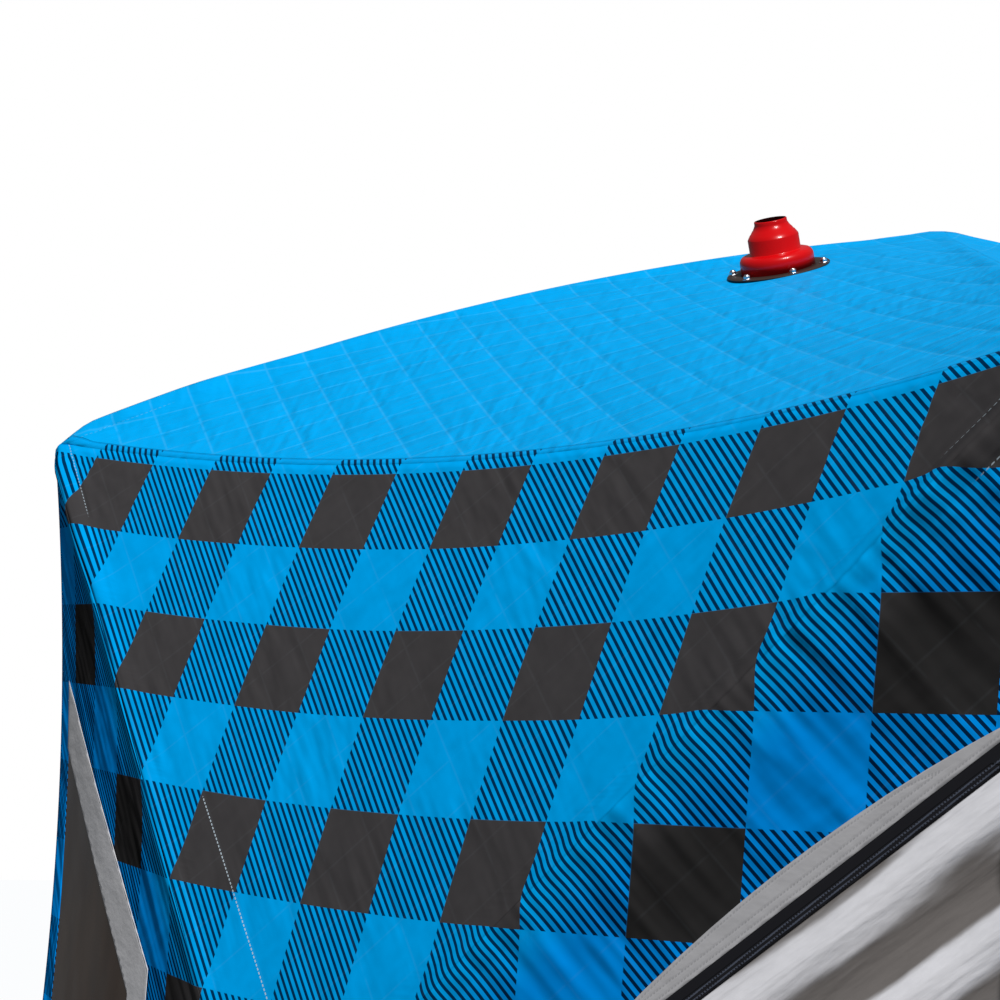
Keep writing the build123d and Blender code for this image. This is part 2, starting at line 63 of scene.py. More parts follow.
class Side(Enum):
    """The four sides of the hut, by their turn about the upright axis in degrees."""

    FRONT = 0
    RIGHT = 90
    BACK = 180
    LEFT = 270

    @property
    def label(self) -> str:
        """Return the side's name as the frame's nodes have it."""
        return self.name.lower()

    @property
    def turn(self) -> Matrix:
        """Return the turn from the front to this side."""
        return Matrix.Rotation(math.radians(self.value), 4, "Z")


class Keep(Enum):
    """Which part of a cloth face an outline leaves."""

    INSIDE = 1
    OUTSIDE = 2


@dataclass(frozen=True)
class HutSizes:
    """Driving sizes of the hut, in metres, and how finely its faces are divided."""

    top_width: float = 1.8
    base_width: float = 1.88
    wall_height: float = 1.625
    hub_height: float = 0.75
    hub_reach: float = 1.104
    roof_rise: float = 0.366
    top_edge_bow: float = 0.098
    side_edge_bow: float = 0.077
    bottom_edge_bow: float = 0.055
    roof_rod_bow: float = 0.0565
    straight_rod_bow: float = 0.001
    panel_thickness: float = 0.005
    sleeve_half: float = 0.0245
    sleeve_height: float = 0.0105
    ridge_half: float = 0.045
    corner_radius: float = 0.012
    fine_rows: int = 88
    coarse_rows: int = 44

    def corner(self, right: int, top: bool) -> Vector:
        """Return a corner of the front wall.

        Args:
            right: 1 for the right corner and -1 for the left.
            top: Whether it is an upper corner.
        """
        half = (self.top_width if top else self.base_width) / 2
        return Vector((right * half, -half, self.wall_height if top else 0.0))

    @property
    def wall_hub(self) -> Vector:
        """Return the middle of the front wall."""
        return Vector((0, -self.hub_reach, self.hub_height))

    @property
    def roof_hub(self) -> Vector:
        """Return the peak of the roof."""
        return Vector((0, 0, self.wall_height + self.roof_rise))

    @property
    def top_bow(self) -> Vector:
        """Return the pull of the roof's front edge, halfway between the roof's and the wall's.

        Returns:
            The pull at the edge's middle.
        """
        roof_pull = Vector((0, self.top_width / 2, self.roof_rise)).normalized()
        lean = self.hub_reach - self.top_width / 2
        wall_pull = Vector((0, -lean, self.hub_height - self.wall_height)).normalized()
        return (roof_pull + wall_pull).normalized() * self.top_edge_bow


def smooth(value: float, low: float, high: float) -> float:
    """Return a smooth step from 0 at low to 1 at high."""
    share = min(max((value - low) / (high - low), 0.0), 1.0)
    return share * share * (3 - 2 * share)


def crown_lift(crown: float, far: float) -> float:
    """Return the cloth's lift at a distance from the roof's hub, which lifts it by its crown."""
    return crown * (1 - smooth(far, 0.012, 0.15)) ** 2


def linear(red: int, green: int, blue: int) -> tuple[float, float, float, float]:
    """Return a colour for a shader socket from its red, green and blue out of 255.

    Args:
        red: Its red, out of 255.
        green: Its green.
        blue: Its blue.
    Returns:
        The colour in linear light, opaque.
    """
    shares = (value / 255 for value in (red, green, blue))
    curve = [c / 12.92 if c < 0.04045 else ((c + 0.055) / 1.055) ** 2.4 for c in shares]
    return (curve[0], curve[1], curve[2], 1.0)


@dataclass(frozen=True)
class Field:
    """A number that varies over a surface, held as an output in a material's node tree."""

    graph: "NodeGraph"
    socket: bpy.types.NodeSocket

    def __add__(self, other: "Value") -> "Field":
        """Return the sum."""
        return self.graph.math("ADD", self, other)

    def __sub__(self, other: "Value") -> "Field":
        """Return the difference."""
        return self.graph.math("SUBTRACT", self, other)

    def __mul__(self, other: "Value") -> "Field":
        """Return the product."""
        return self.graph.math("MULTIPLY", self, other)

    def fract(self) -> "Field":
        """Return the part after the point, which repeats a pattern at every whole number."""
        return self.graph.math("FRACT", self)

    def absolute(self) -> "Field":
        """Return the size without its sign."""
        return self.graph.math("ABSOLUTE", self)

    def flipped(self) -> "Field":
        """Return one less the number, so that 0 and 1 change places."""
        return self * -1.0 + 1.0

    def dashes(self, pitch: float, share: float) -> "Field":
        """Return 1 on dashes that take up that share of each pitch, and 0 between them."""
        return (self * (1 / pitch)).fract().below(share)

    def least(self, other: "Value") -> "Field":
        """Return the smaller of two."""
        return self.graph.math("MINIMUM", self, other)

    def most(self, other: "Value") -> "Field":
        """Return the larger of two."""
        return self.graph.math("MAXIMUM", self, other)

    def below(self, limit: float, blur: float = 0.0) -> "Field":
        """Return 1 where the number is below a limit and 0 above it.

        Args:
            limit: Where the step lies.
            blur: How wide the step is.
        Returns:
            The step.
        """
        if blur:
            return self.fade(limit - blur / 2, limit + blur / 2)
        return self.graph.math("LESS_THAN", self, limit)

    def fade(self, low: float, high: float) -> "Field":
        """Return 1 below one number and 0 above another, with a smooth step between.

        Args:
            low: Where the step starts.
            high: Where it ends.
        Returns:
            The step.
        """
        node = self.graph.add(
            "ShaderNodeMapRange",
            {"Value": self, "From Min": low, "From Max": high, "To Min": 1.0, "To Max": 0.0},
            interpolation_type="SMOOTHSTEP",
        )
        return Field(self.graph, node.outputs["Result"])


Value = Union[Field, float]
Colour = tuple[float, float, float, float]


class NodeGraph:
    """A thin layer over a material's node tree, which keeps each finish short."""

    def __init__(self, name: str) -> None:
        """Start an empty material of that name.

        Args:
            name: The material's name.
        """
        self.material = bpy.data.materials.new(name)
        self.material.use_nodes = True
        self.tree = self.material.node_tree
        self.tree.nodes.clear()

    def add(self, kind: str, inputs: Optional[dict] = None, **settings: object) -> bpy.types.Node:
        """Add a node.

        Args:
            kind: The node's type.
            inputs: What goes into its sockets: fields, other outputs or plain values.
            **settings: Its other properties.
        Returns:
            The node.
        """
        node = self.tree.nodes.new(kind)
        for key, value in settings.items():
            setattr(node, key, value)
        for key, value in (inputs or {}).items():
            self.feed(node.inputs[key], value)
        return node

    def feed(self, socket: bpy.types.NodeSocket, value: object) -> None:
        """Link a field or an output to a socket, or set a plain value on it.

        Args:
            socket: The socket that takes it.
            value: What it is given.
        """
        if isinstance(value, Field):
            value = value.socket
        if isinstance(value, bpy.types.NodeSocket):
            self.tree.links.new(value, socket)
        else:
            socket.default_value = value

    def math(self, operation: str, *values: Value) -> Field:
        """Return the result of one step of arithmetic."""
        node = self.add("ShaderNodeMath", dict(enumerate(values)), operation=operation)
        return Field(self, node.outputs[0])

    def parts(self, vector: bpy.types.NodeSocket) -> tuple[Field, Field, Field]:
        """Split a vector into its three numbers."""
        x, y, z = self.add("ShaderNodeSeparateXYZ", {0: vector}).outputs
        return Field(self, x), Field(self, y), Field(self, z)

    def vector(self, x: Value, y: Value, z: Value = 0.0) -> bpy.types.NodeSocket:
        """Join three numbers into a vector."""
        return self.add("ShaderNodeCombineXYZ", {0: x, 1: y, 2: z}).outputs[0]

    def cloth(self) -> tuple[Field, Field]:
        """Return the place on the cloth, across and down, in millimetres.

        Returns:
            The distances across and down.
        """
        node = self.add("ShaderNodeUVMap", uv_map=CLOTH_MAP)
        across, down, _ = self.parts(node.outputs["UV"])
        return across * CELL_MM, down * CELL_MM

    def seams(self) -> tuple[Field, Field, Field]:
        """Return the distances to the two ridges and to the free edge, in millimetres.

        Returns:
            The three distances.
        """
        node = self.add("ShaderNodeAttribute", attribute_name=SEAMS)
        first, second, third = self.parts(node.outputs["Vector"])
        return first * MM, second * MM, third * MM

    def carried(self) -> Field:
        """Return the number that each vertex carries as ALONG."""
        node = self.add("ShaderNodeAttribute", attribute_name=ALONG)
        return Field(self, node.outputs["Fac"])

    def along(self) -> Field:
        """Return the distance along a seam in millimetres."""
        return self.carried() * MM

    def place(self) -> bpy.types.NodeSocket:
        """Return the place on the piece in metres."""
        return self.add("ShaderNodeTexCoord").outputs["Object"]

    def noise(self, where: bpy.types.NodeSocket, scale: float, detail: float) -> Field:
        """Return smooth noise around zero, from about -0.5 to 0.5.

        Args:
            where: The place it is read at.
            scale: Features in each unit of that place.
            detail: How many finer layers it has.
        Returns:
            The noise.
        """
        node = self.add("ShaderNodeTexNoise", {"Vector": where, "Scale": scale, "Detail": detail})
        return Field(self, node.outputs["Fac"]) - 0.5

    def weave(self, across: Field, down: Field, scale: float) -> Field:
        """Return the fine grain of woven threads, so many features in a millimetre."""
        return self.noise(self.vector(across, down), scale, 1.0)

    def mix(self, share: Value, first: object, second: object) -> bpy.types.NodeSocket:
        """Return a colour between two others.

        Args:
            share: The second one's share.
            first: The first colour, as a value or an output.
            second: The second colour.
        Returns:
            The mixed colour.
        """
        node = self.add("ShaderNodeMix", data_type="RGBA")
        self.feed(node.inputs[0], share)
        self.feed(node.inputs[6], first)
        self.feed(node.inputs[7], second)
        return node.outputs[2]

    def shade(self, colour: object, share: Field, spread: float) -> bpy.types.NodeSocket:
        """Return a colour made lighter and darker by a field around zero.

        Args:
            colour: The colour, as a value or an output.
            share: The field.
            spread: How much lighter the colour is where the field is 1.
        Returns:
            The shaded colour.
        """
        level = share * spread + 1.0
        node = self.add("ShaderNodeVectorMath", operation="SCALE")
        self.feed(node.inputs[0], colour[:3] if isinstance(colour, tuple) else colour)
        self.feed(node.inputs["Scale"], level)
        return node.outputs[0]

    def bump(self, height: Field) -> bpy.types.NodeSocket:
        """Return the normal of a surface with a relief given in millimetres."""
        node = self.add("ShaderNodeBump", {"Height": height, "Distance": 0.001})
        return node.outputs["Normal"]

    def surface(self, **inputs: object) -> bpy.types.Material:
        """Finish the material with one shader.

        Args:
            **inputs: The shader's sockets, with underscores for their spaces.
        Returns:
            The finished material.
        """
        named = {key.replace("_", " "): value for key, value in inputs.items()}
        shader = self.add("ShaderNodeBsdfPrincipled", named)
        self.add("ShaderNodeOutputMaterial", {"Surface": shader.outputs[0]})
        return self.material


@dataclass(frozen=True)
class Grain:
    """Soft noise over a cloth, by its features in each millimetre along two directions."""

    first: float
    second: float
    detail: float = 1.0
    scale: float = 1.0
    layer: float = 0.0

    def over(self, graph: NodeGraph, first: Field, second: Field) -> Field:
        """Return the noise at the distances along its directions, from about -0.5 to 0.5."""
        place = graph.vector(first * self.first, second * self.second, self.layer)
        return graph.noise(place, self.scale, self.detail)


class Finish(Protocol):
    """What every finish has: its name, and the material that it makes."""

    name: str

    def material(self) -> bpy.types.Material:
        """Return the finish."""


@dataclass(frozen=True)
class Quilting:
    """Rows of stitches that sew the layers of the cloth together, with the cloth drawn in along them."""

    pitch: float
    groove: float = 0.9
    groove_half: float = 16.0
    line: float = 2.6
    line_core: float = 0.3
    pucker: float = 0.55
    pucker_reach: float = 0.42
    ripples: Grain = Grain(0.075, 0.012)
    breaks: Grain = Grain(0.03, 0.004, detail=2.0, layer=9.0)
    unbroken: tuple[float, float] = (-0.02, 0.22)

    def relief(self, graph: NodeGraph, across: Field, along: Field) -> tuple[Field, Field]:
        """Return the relief in millimetres and the painted highlight along each row's crease.

        Args:
            graph: The material that it is for.
            across: Distance across the rows in millimetres, zero on a row.
            along: Distance along the rows in millimetres.
        Returns:
            The relief, and how much of the painted crease highlight shows.
        """
        off = ((across * (1 / self.pitch) + 0.5).fract() - 0.5).absolute() * self.pitch
        drawn_in = off.fade(0.0, self.groove_half) * -self.groove
        ripples = self.ripples.over(graph, along, across)
        puckers = ripples * off.fade(1.0, self.pitch * self.pucker_reach) * self.pucker
        breaks = self.breaks.over(graph, along, across)
        # A painted highlight along each row's crease, broken in places.
        crease = off.fade(self.line_core, self.line) * (breaks * -1.0).fade(*self.unbroken)
        return drawn_in + puckers, crease


@dataclass(frozen=True)
class SleeveStitching:
    """The rows of stitches beside each ridge, which show as far as the sleeve's end patch reaches."""

    sleeve_half: float = 24.5
    stitch_length: float = 5.0
    stitch_share: float = 0.6
    thread_half: float = 0.65
    thread_height: float = 0.35
    patch: float = 120.0
    groove: float = 0.9
    groove_half: float = 7.0
    gather: float = 0.7
    gather_reach: float = 26.0
    gathers: Grain = Grain(0.11, 0.03)

    def relief(self, graph: NodeGraph) -> tuple[Field, Field]:
        """Return the relief in millimetres and where the threads lie.

        Args:
            graph: The material that it is for.
        Returns:
            The relief, and how much of a thread shows.
        """
        ridge_a, ridge_b, edge = graph.seams()
        off = (ridge_a.least(ridge_b) - self.sleeve_half).absolute()
        shown = edge.fade(self.patch * 0.85, self.patch)
        stitches = graph.along().dashes(self.stitch_length, self.stitch_share)
        thread = off.below(self.thread_half) * stitches * shown
        groove = off.fade(0.0, self.groove_half) * (shown + 0.25) * -self.groove
        gathers = self.gathers.over(graph, graph.along(), off) * off.fade(2.0, self.gather_reach)
        return groove + gathers * self.gather + thread * self.thread_height, thread


@dataclass(frozen=True)
class Wrinkles:
    """Long soft wrinkles of pulled cloth, in patches, along two slanted directions.

    They have `along` and `across` features in each millimetre along and across themselves.
    """

    height: float
    along: float
    across: float
    patches: Grain = Grain(0.004, 0.004)
    patch_blur: float = 0.12

    def relief(self, graph: NodeGraph, rising: Field, falling: Field) -> Field:
        """Return the relief in millimetres.

        Args:
            graph: The material that it is for.
            rising: Distance along the first direction in millimetres.
            falling: Distance along the second direction in millimetres.
        Returns:
            The relief.
        """
        first = Grain(self.along, self.across).over(graph, falling, rising)
        second = Grain(self.along, self.across, layer=5.0).over(graph, rising, falling)
        lean = self.patches.over(graph, rising, falling).fade(-self.patch_blur, self.patch_blur)
        return (first * lean + second * lean.flipped()) * self.height


@dataclass(frozen=True)
class PlaidPattern:
    """The printed plaid: two dark bands cross as a black square, one alone shows as slanted stripes."""

    blue: Colour = linear(0, 157, 228)
    navy: Colour = linear(0, 46, 84)
    black: Colour = linear(63, 61, 62)
    stripes: float = 10.0
    stripe_share: float = 0.46
    stripe_start_blur: float = 0.03
    stripe_end_blur: float = 0.06
    band_blur: float = 0.003

    def dark(self, squares: Field) -> Field:
        """Return 1 on the dark bands, where the whole part of a count of squares is odd."""
        return (squares * 0.5).fract().fade(0.5 - self.band_blur, 0.5 + self.band_blur).flipped()

    def colour(self, graph: NodeGraph, column: Field, row: Field) -> bpy.types.NodeSocket:
        """Return the print's colour.

        Args:
            graph: The material that it is for.
            column: Squares across the cloth, dark where the whole part is odd.
            row: Squares down the cloth, dark likewise.
        Returns:
            The colour.
        """
        column_dark, row_dark = self.dark(column), self.dark(row)
        both = column_dark * row_dark
        single = column_dark + row_dark - both * 2.0
        slant = ((column - row) * self.stripes).fract()
        stripe = slant.below(self.stripe_share, self.stripe_end_blur)
        stripe *= slant.flipped().below(1 - self.stripe_start_blur / 2, self.stripe_start_blur)
        striped = graph.mix(single * stripe, self.blue, self.navy)
        return graph.mix(both, striped, self.black)


@dataclass(frozen=True)
class PlaidCloth:
    """Quilted cloth printed with the plaid.

    With painted ridge shade it is a side face's: painted shade deepens its tone beside the ridges,
    its soft folds are painted lighter and darker as their light and shade, and its print goes
    from the side faces' shaded tones to the upper faces' lit tones right at the ridge. Without it
    it has a lone row of stitches.
    """

    name: str = "plaid_cloth"
    pattern: PlaidPattern = PlaidPattern()
    thread: Colour = linear(190, 205, 215)
    quilt_share: float = 0.81
    second_row_shift: float = 0.73
    # How strongly the side faces' tone is darkened as painted shade beside the ridges.
    painted_ridge_shade: float = 0.0
    shade_from: float = 60.0
    shade_reach: float = 330.0
    blend_reach: float = 85.0
    fold_height: float = 12.0
    fold_grain: Grain = Grain(0.004, 0.026, layer=3.0)
    soft_grain: Grain = Grain(0.01, 0.01, detail=2.0, scale=1.6)
    lone_row: float = -0.03
    lone_from: float = 10.13
    lone_to: float = 14.5
    lone_stitches: float = 14.0
    lone_half: float = 0.9

    def lone(self, column: Field, row: Field) -> Field:
        """Return where the threads of the one row of stitches beside a ridge show.

        Args:
            column: Squares across the cloth.
            row: Squares down the cloth.
        Returns:
            How much of a thread shows.
        """
        off = (column - row - self.lone_row).absolute() * (CELL_MM * DIAGONAL)
        far = column + row
        stitches = (far * self.lone_stitches).fract().below(0.6)
        length = far.fade(self.lone_to, self.lone_to + 0.2)
        length *= far.fade(self.lone_from - 0.05, self.lone_from).flipped()
        return off.below(self.lone_half) * stitches * length

    def material(self) -> bpy.types.Material:
        """Return the finish.

        Returns:
            The finished material.
        """
        graph = NodeGraph(self.name)
        across, down = graph.cloth()
        column, row = across * (1 / CELL_MM), down * (1 / CELL_MM)
        rising, falling = (across - down) * DIAGONAL, (across + down) * DIAGONAL
        quilting = Quilting(self.quilt_share * CELL_MM * DIAGONAL, groove=0.3, pucker=0.45)
        first, first_crease_highlight = quilting.relief(graph, rising, falling)
        shifted = falling - self.second_row_shift * CELL_MM * DIAGONAL
        second, second_crease_highlight = quilting.relief(graph, shifted, rising)
        seams, seam_thread = SleeveStitching().relief(graph)
        wrinkles = Wrinkles(5.0, 0.009, 0.036).relief(graph, rising, falling)
        weave = graph.weave(across, down, 1.1)
        soft = self.soft_grain.over(graph, across, down)

        colour = self.pattern.colour(graph, column, row)
        # Random tone and the weave's grain, and the wrinkles painted lighter and darker as their light and
        # shade.
        colour = graph.shade(colour, soft + weave * 0.4 + wrinkles * 0.1, 0.16)
        # A faint painted highlight along the quilting creases.
        colour = graph.mix(first_crease_highlight.most(second_crease_highlight) * 0.012, colour, self.thread)
        threads = seam_thread * 0.5
        height = first + second + seams + wrinkles + weave * 0.10 + soft * 2.2
        if self.painted_ridge_shade:
            folds = self.fold_grain.over(graph, falling, rising)
            height += folds * self.fold_height
            ridge_a, ridge_b, _ = graph.seams()
            near = ridge_a.least(ridge_b)
            # Painted shade: the side face's tone is darkened most just beside the ridges and less further
            # out.
            deep = near.fade(self.shade_from, self.shade_reach) + 0.3
            past = near.fade(0.0, self.blend_reach).flipped()
            # At the ridge the print keeps the upper faces' lit tones, beyond it the side faces' shaded
            # ones.
            colour = graph.mix(past, PlaidPattern().colour(graph, column, row), colour)
            colour = graph.shade(colour, deep * past, -self.painted_ridge_shade)
            # Painted light and shade of the soft folds.
            colour = graph.shade(colour, folds * past, 0.8)
        else:
            threads = threads.most(self.lone(column, row) * 0.85)
        colour = graph.mix(threads, colour, self.thread)
        return graph.surface(
            Base_Color=colour,
            Roughness=0.6,
            Specular_IOR_Level=0.0,
            Normal=graph.bump(height),
        )


@dataclass(frozen=True)
class RoofCloth:
    """Plain blue quilted cloth with its rows of stitches at a low angle.

    The wall's plaid turns over the edge onto it as a narrow strip.
    """

    name: str = "roof_cloth"
    blue: Colour = linear(0, 160, 229)
    thread: Colour = linear(120, 205, 246)
    # The seam line's colour, painted shade of the lap where the roof cloth meets the plaid.
    seam: Colour = linear(0, 82, 150)
    pattern: PlaidPattern = PlaidPattern()
    row_angle: float = math.radians(32)
    row_pitch: float = 53.0
    first_shift: float = 628.0
    second_shift: float = 26.0
    strip: float = 13.0
    strip_blur: float = 0.8
    hem_reach: float = 30.0
    middle_column: float = 7.369
    edge_row: float = 0.867
    crease_grain: Grain = Grain(0.02, 0.11, detail=3.0)
    soft_grain: Grain = Grain(0.01, 0.01, detail=2.0, scale=1.4)

    def material(self) -> bpy.types.Material:
        """Return the finish.

        Returns:
            The finished material.
        """
        graph = NodeGraph(self.name)
        across, down = graph.cloth()
        sine, cosine = math.sin(self.row_angle), math.cos(self.row_angle)
        quilting = Quilting(self.row_pitch, groove=1.3, groove_half=14.0, line=2.4, pucker=1.8)
        first, first_crease_highlight = quilting.relief(
            graph, across * sine + down * cosine + self.first_shift, across * cosine - down * sine
        )
        along_row, off_row = across * cosine + down * sine, down * cosine - across * sine
        second, second_crease_highlight = quilting.relief(graph, off_row + self.second_shift, along_row)
        seams, seam_thread = SleeveStitching().relief(graph)
        weave = graph.weave(across, down, 1.1)
        creases = self.crease_grain.over(graph, along_row, off_row)
        wrinkles = Wrinkles(4.5, 0.014, 0.05).relief(graph, along_row, off_row)
        soft = self.soft_grain.over(graph, across, down)
        _, _, edge = graph.seams()
        print_row = edge * (-1 / CELL_MM) + self.edge_row
        strip = edge.below(self.strip, self.strip_blur)
        printed = self.pattern.colour(graph, across * (1 / CELL_MM) + self.middle_column, print_row)
        seam = (edge - self.strip).absolute().fade(0.6, 1.8)
        # Random tone and the weave's grain, and the wrinkles painted lighter and darker as their light and
        # shade.
        colour = graph.shade(self.blue, soft + weave * 0.4 + wrinkles * 0.12, 0.2)
        # The sleeves' threads, and a painted highlight along the quilting creases.
        threads = first_crease_highlight.most(second_crease_highlight) * 0.1 + seam_thread * 0.25
        colour = graph.mix(threads, colour, self.thread)
        colour = graph.mix(strip, colour, printed)
        # A thin darker line along the seam, painted shade of the lap, beside its drawn-in groove.
        colour = graph.mix(seam * 0.22, colour, self.seam)
        inner = edge.fade(self.strip, self.strip + self.hem_reach).flipped()
        quilted = (first + second) * inner - seam * 1.2
        height = quilted + seams + weave * 0.10 + creases * 2.0 + wrinkles + soft * 2.5
        return graph.surface(
            Base_Color=colour,
            Roughness=0.5,
            Specular_IOR_Level=0.03,
            Normal=graph.bump(height),
        )


@dataclass(frozen=True)
class PlainCloth:
    """A plain woven cloth, with a fine row of stitches a little in from its outer edge.

    The cloth's creases are noise drawn out along its rows, and the cloth is painted lighter and darker
    with them as their light and shade.
    """

    name: str
    colour: Colour
    thread: Colour
    roughness: float = 0.6
    crease: float = 0.4
    stitch_in: float = 3.5
    stitch_length: float = 3.4
    thread_half: float = 0.6
    groove_half: float = 2.5
    crease_grain: Grain = Grain(0.02, 0.035, detail=3.0)

    def material(self) -> bpy.types.Material:
        """Return the finish.

        Returns:
            The finished material.
        """
        graph = NodeGraph(self.name)
        across, down = graph.cloth()
        rim, _, _ = graph.seams()
        off = (rim - self.stitch_in).absolute()
        thread = off.below(self.thread_half) * graph.along().dashes(self.stitch_length, 0.5)
        weave = graph.weave(across, down, 1.3)
        creases = self.crease_grain.over(graph, across, down)
        # The creases painted lighter and darker as their light and shade, over the weave's grain.
        colour = graph.shade(self.colour, creases + weave * 0.7, 0.2)
        colour = graph.mix(thread * 0.4, colour, self.thread)
        groove = off.fade(0.0, self.groove_half) * -0.35
        height = weave * 0.08 + creases * self.crease + groove + thread * 0.2
        return graph.surface(
            Base_Color=colour,
            Roughness=self.roughness,
            Specular_IOR_Level=0.08,
            Normal=graph.bump(height),
        )


@dataclass(frozen=True)
class DoorCloth:
    """Shiny light cloth that hangs slack in deep folds along the zipper, painted light on their crests and
    dark with painted shade in their valleys.
    """

    name: str = "door_cloth"
    # The crests' colour, with painted light, and the valleys' painted shade.
    light: Colour = linear(222, 221, 225)
    dark: Colour = linear(112, 107, 104)
    valley: tuple[float, float] = (0.26, 0.6)
    streak_grain: Grain = Grain(0.004, 0.04, detail=2.0)
    fine_grain: tuple[float, float, float] = (0.016, 0.07, 0.003)

    def material(self) -> bpy.types.Material:
        """Return the finish.

        Returns:
            The finished material.
        """
        graph = NodeGraph(self.name)
        across, down = graph.cloth()
        inside, _, _ = graph.seams()
        streaks = self.streak_grain.over(graph, across, inside)
        places = zip((across, inside, down), self.fine_grain)
        fine = graph.noise(graph.vector(*(place * grain for place, grain in places)), 1.0, 3.0)
        weave = graph.weave(across, down, 1.3)
        # Painted light and shade: the colour goes from light on the crests to dark in the valleys of the
        # folds and streaks.
        depth = (graph.carried() + streaks * 0.8 + fine * 0.3).fade(*self.valley)
        colour = graph.mix(depth, self.light, self.dark)
        # The fine creases painted lighter and darker as their light and shade, over the weave's grain.
        colour = graph.shade(colour, fine + weave * 0.3, 0.2)
        height = streaks * 7.0 + fine * 3.0 + weave * 0.05
        return graph.surface(
            Base_Color=colour,
            Roughness=0.38,
            Specular_IOR_Level=0.35,
            Normal=graph.bump(height),
        )


@dataclass(frozen=True)
class ZipperTape:
    """Black zipper: a plain flap on its outer half, and two rows of teeth on its inner half."""

    name: str = "zipper_tape"
    colour: Colour = linear(26, 26, 30)
    teeth: Colour = linear(78, 84, 98)
    width: float = 20.0
    tooth_pitch: float = 3.6
    tooth_half: float = 0.9
    rows: tuple[float, float] = (0.16, 0.38)

    def material(self) -> bpy.types.Material:
        """Return the finish.

        Returns:
            The finished material.
        """
        graph = NodeGraph(self.name)
        outer, inner, _ = graph.seams()
        across, down = graph.cloth()
        rising, falling = (across - down) * DIAGONAL, (across + down) * DIAGONAL
        dotted = rising.dashes(self.tooth_pitch, 0.5).most(falling.dashes(self.tooth_pitch, 0.5))
        first, second = (
            (inner - self.width * row).absolute().below(self.tooth_half) for row in self.rows
        )
        teeth = first.most(second) * dotted
        flap = outer.below(self.width * 0.5, 0.6)
        weave = graph.weave(across, down, 1.3)
        colour = graph.shade(self.colour, weave, 0.3)
        colour = graph.mix(teeth * 0.8, colour, self.teeth)
        height = flap * 1.2 + teeth * 0.5 + weave * 0.06
        return graph.surface(
            Base_Color=colour, Roughness=0.5, Specular_IOR_Level=0.15, Normal=graph.bump(height)
        )


@dataclass(frozen=True)
class ClearFilm:
    """Clear vinyl window film, slightly wavy, its near-opaque brown a painted reflection of the ground
    over painted shade of the inside.
    """

    name: str = "clear_film"
    # Painted reflection of the brown ground over painted shade of the dark inside.
    colour: Colour = linear(60, 44, 32)
    alpha: float = 0.96
    haze_grain: Grain = Grain(0.02, 0.006, detail=4.0)

    def material(self) -> bpy.types.Material:
        """Return the finish.

        Returns:
            The finished material.
        """
        graph = NodeGraph(self.name)
        waves = graph.noise(graph.place(), 6.0, 2.0)
        haze = self.haze_grain.over(graph, *graph.cloth())
        # The film's tone is streaked lighter and darker by a noise.
        colour = graph.shade(self.colour, haze, 1.1)
        return graph.surface(
            Base_Color=colour,
            Roughness=0.15,
            Alpha=self.alpha,
            Specular_IOR_Level=0.1,
            Normal=graph.bump(waves * 3.0),
        )


@dataclass(frozen=True)
class Moulded:
    """A moulded or coated part: one colour with a fine grain and slight changes of gloss."""

    name: str
    colour: Colour
    roughness: float = 0.45
    grain: float = 0.04
    grain_scale: float = 900.0
    metallic: float = 0.0
    coat: float = 0.0
    gloss: float = 0.3

    def material(self) -> bpy.types.Material:
        """Return the finish.

        Returns:
            The finished material.
        """
        graph = NodeGraph(self.name)
        fine = graph.noise(graph.place(), self.grain_scale, 2.0)
        broad = graph.noise(graph.place(), 18.0, 3.0)
        colour = graph.shade(self.colour, broad, 0.2)
        return graph.surface(
            Base_Color=colour,
            Roughness=broad * 0.2 + self.roughness,
            Metallic=self.metallic,
            Coat_Weight=self.coat,
            Coat_Roughness=0.08,
            Specular_IOR_Level=self.gloss,
            Normal=graph.bump(fine * self.grain),
        )


def turn_outwards(bm: bmesh.types.BMesh, outward: Vector) -> None:
    """Turn a sheet's faces round where they look the wrong way.

    Args:
        bm: The mesh, whose faces all look the same way.
        outward: The way that they have to look.
    """
    bm.normal_update()
    bm.faces.ensure_lookup_table()
    if bm.faces[len(bm.faces) // 2].normal.dot(outward) < 0:
        bmesh.ops.reverse_faces(bm, faces=bm.faces)


def lay_flat(bm: bmesh.types.BMesh) -> None:
    """Write the cloth's own map, in plaid squares, as the mesh is seen from above.

    Args:
        bm: The mesh.
    """
    cloth = bm.loops.layers.uv.new(CLOTH_MAP)
    for face in bm.faces:
        for loop in face.loops:
            loop[cloth].uv = loop.vert.co.xy * SQUARES


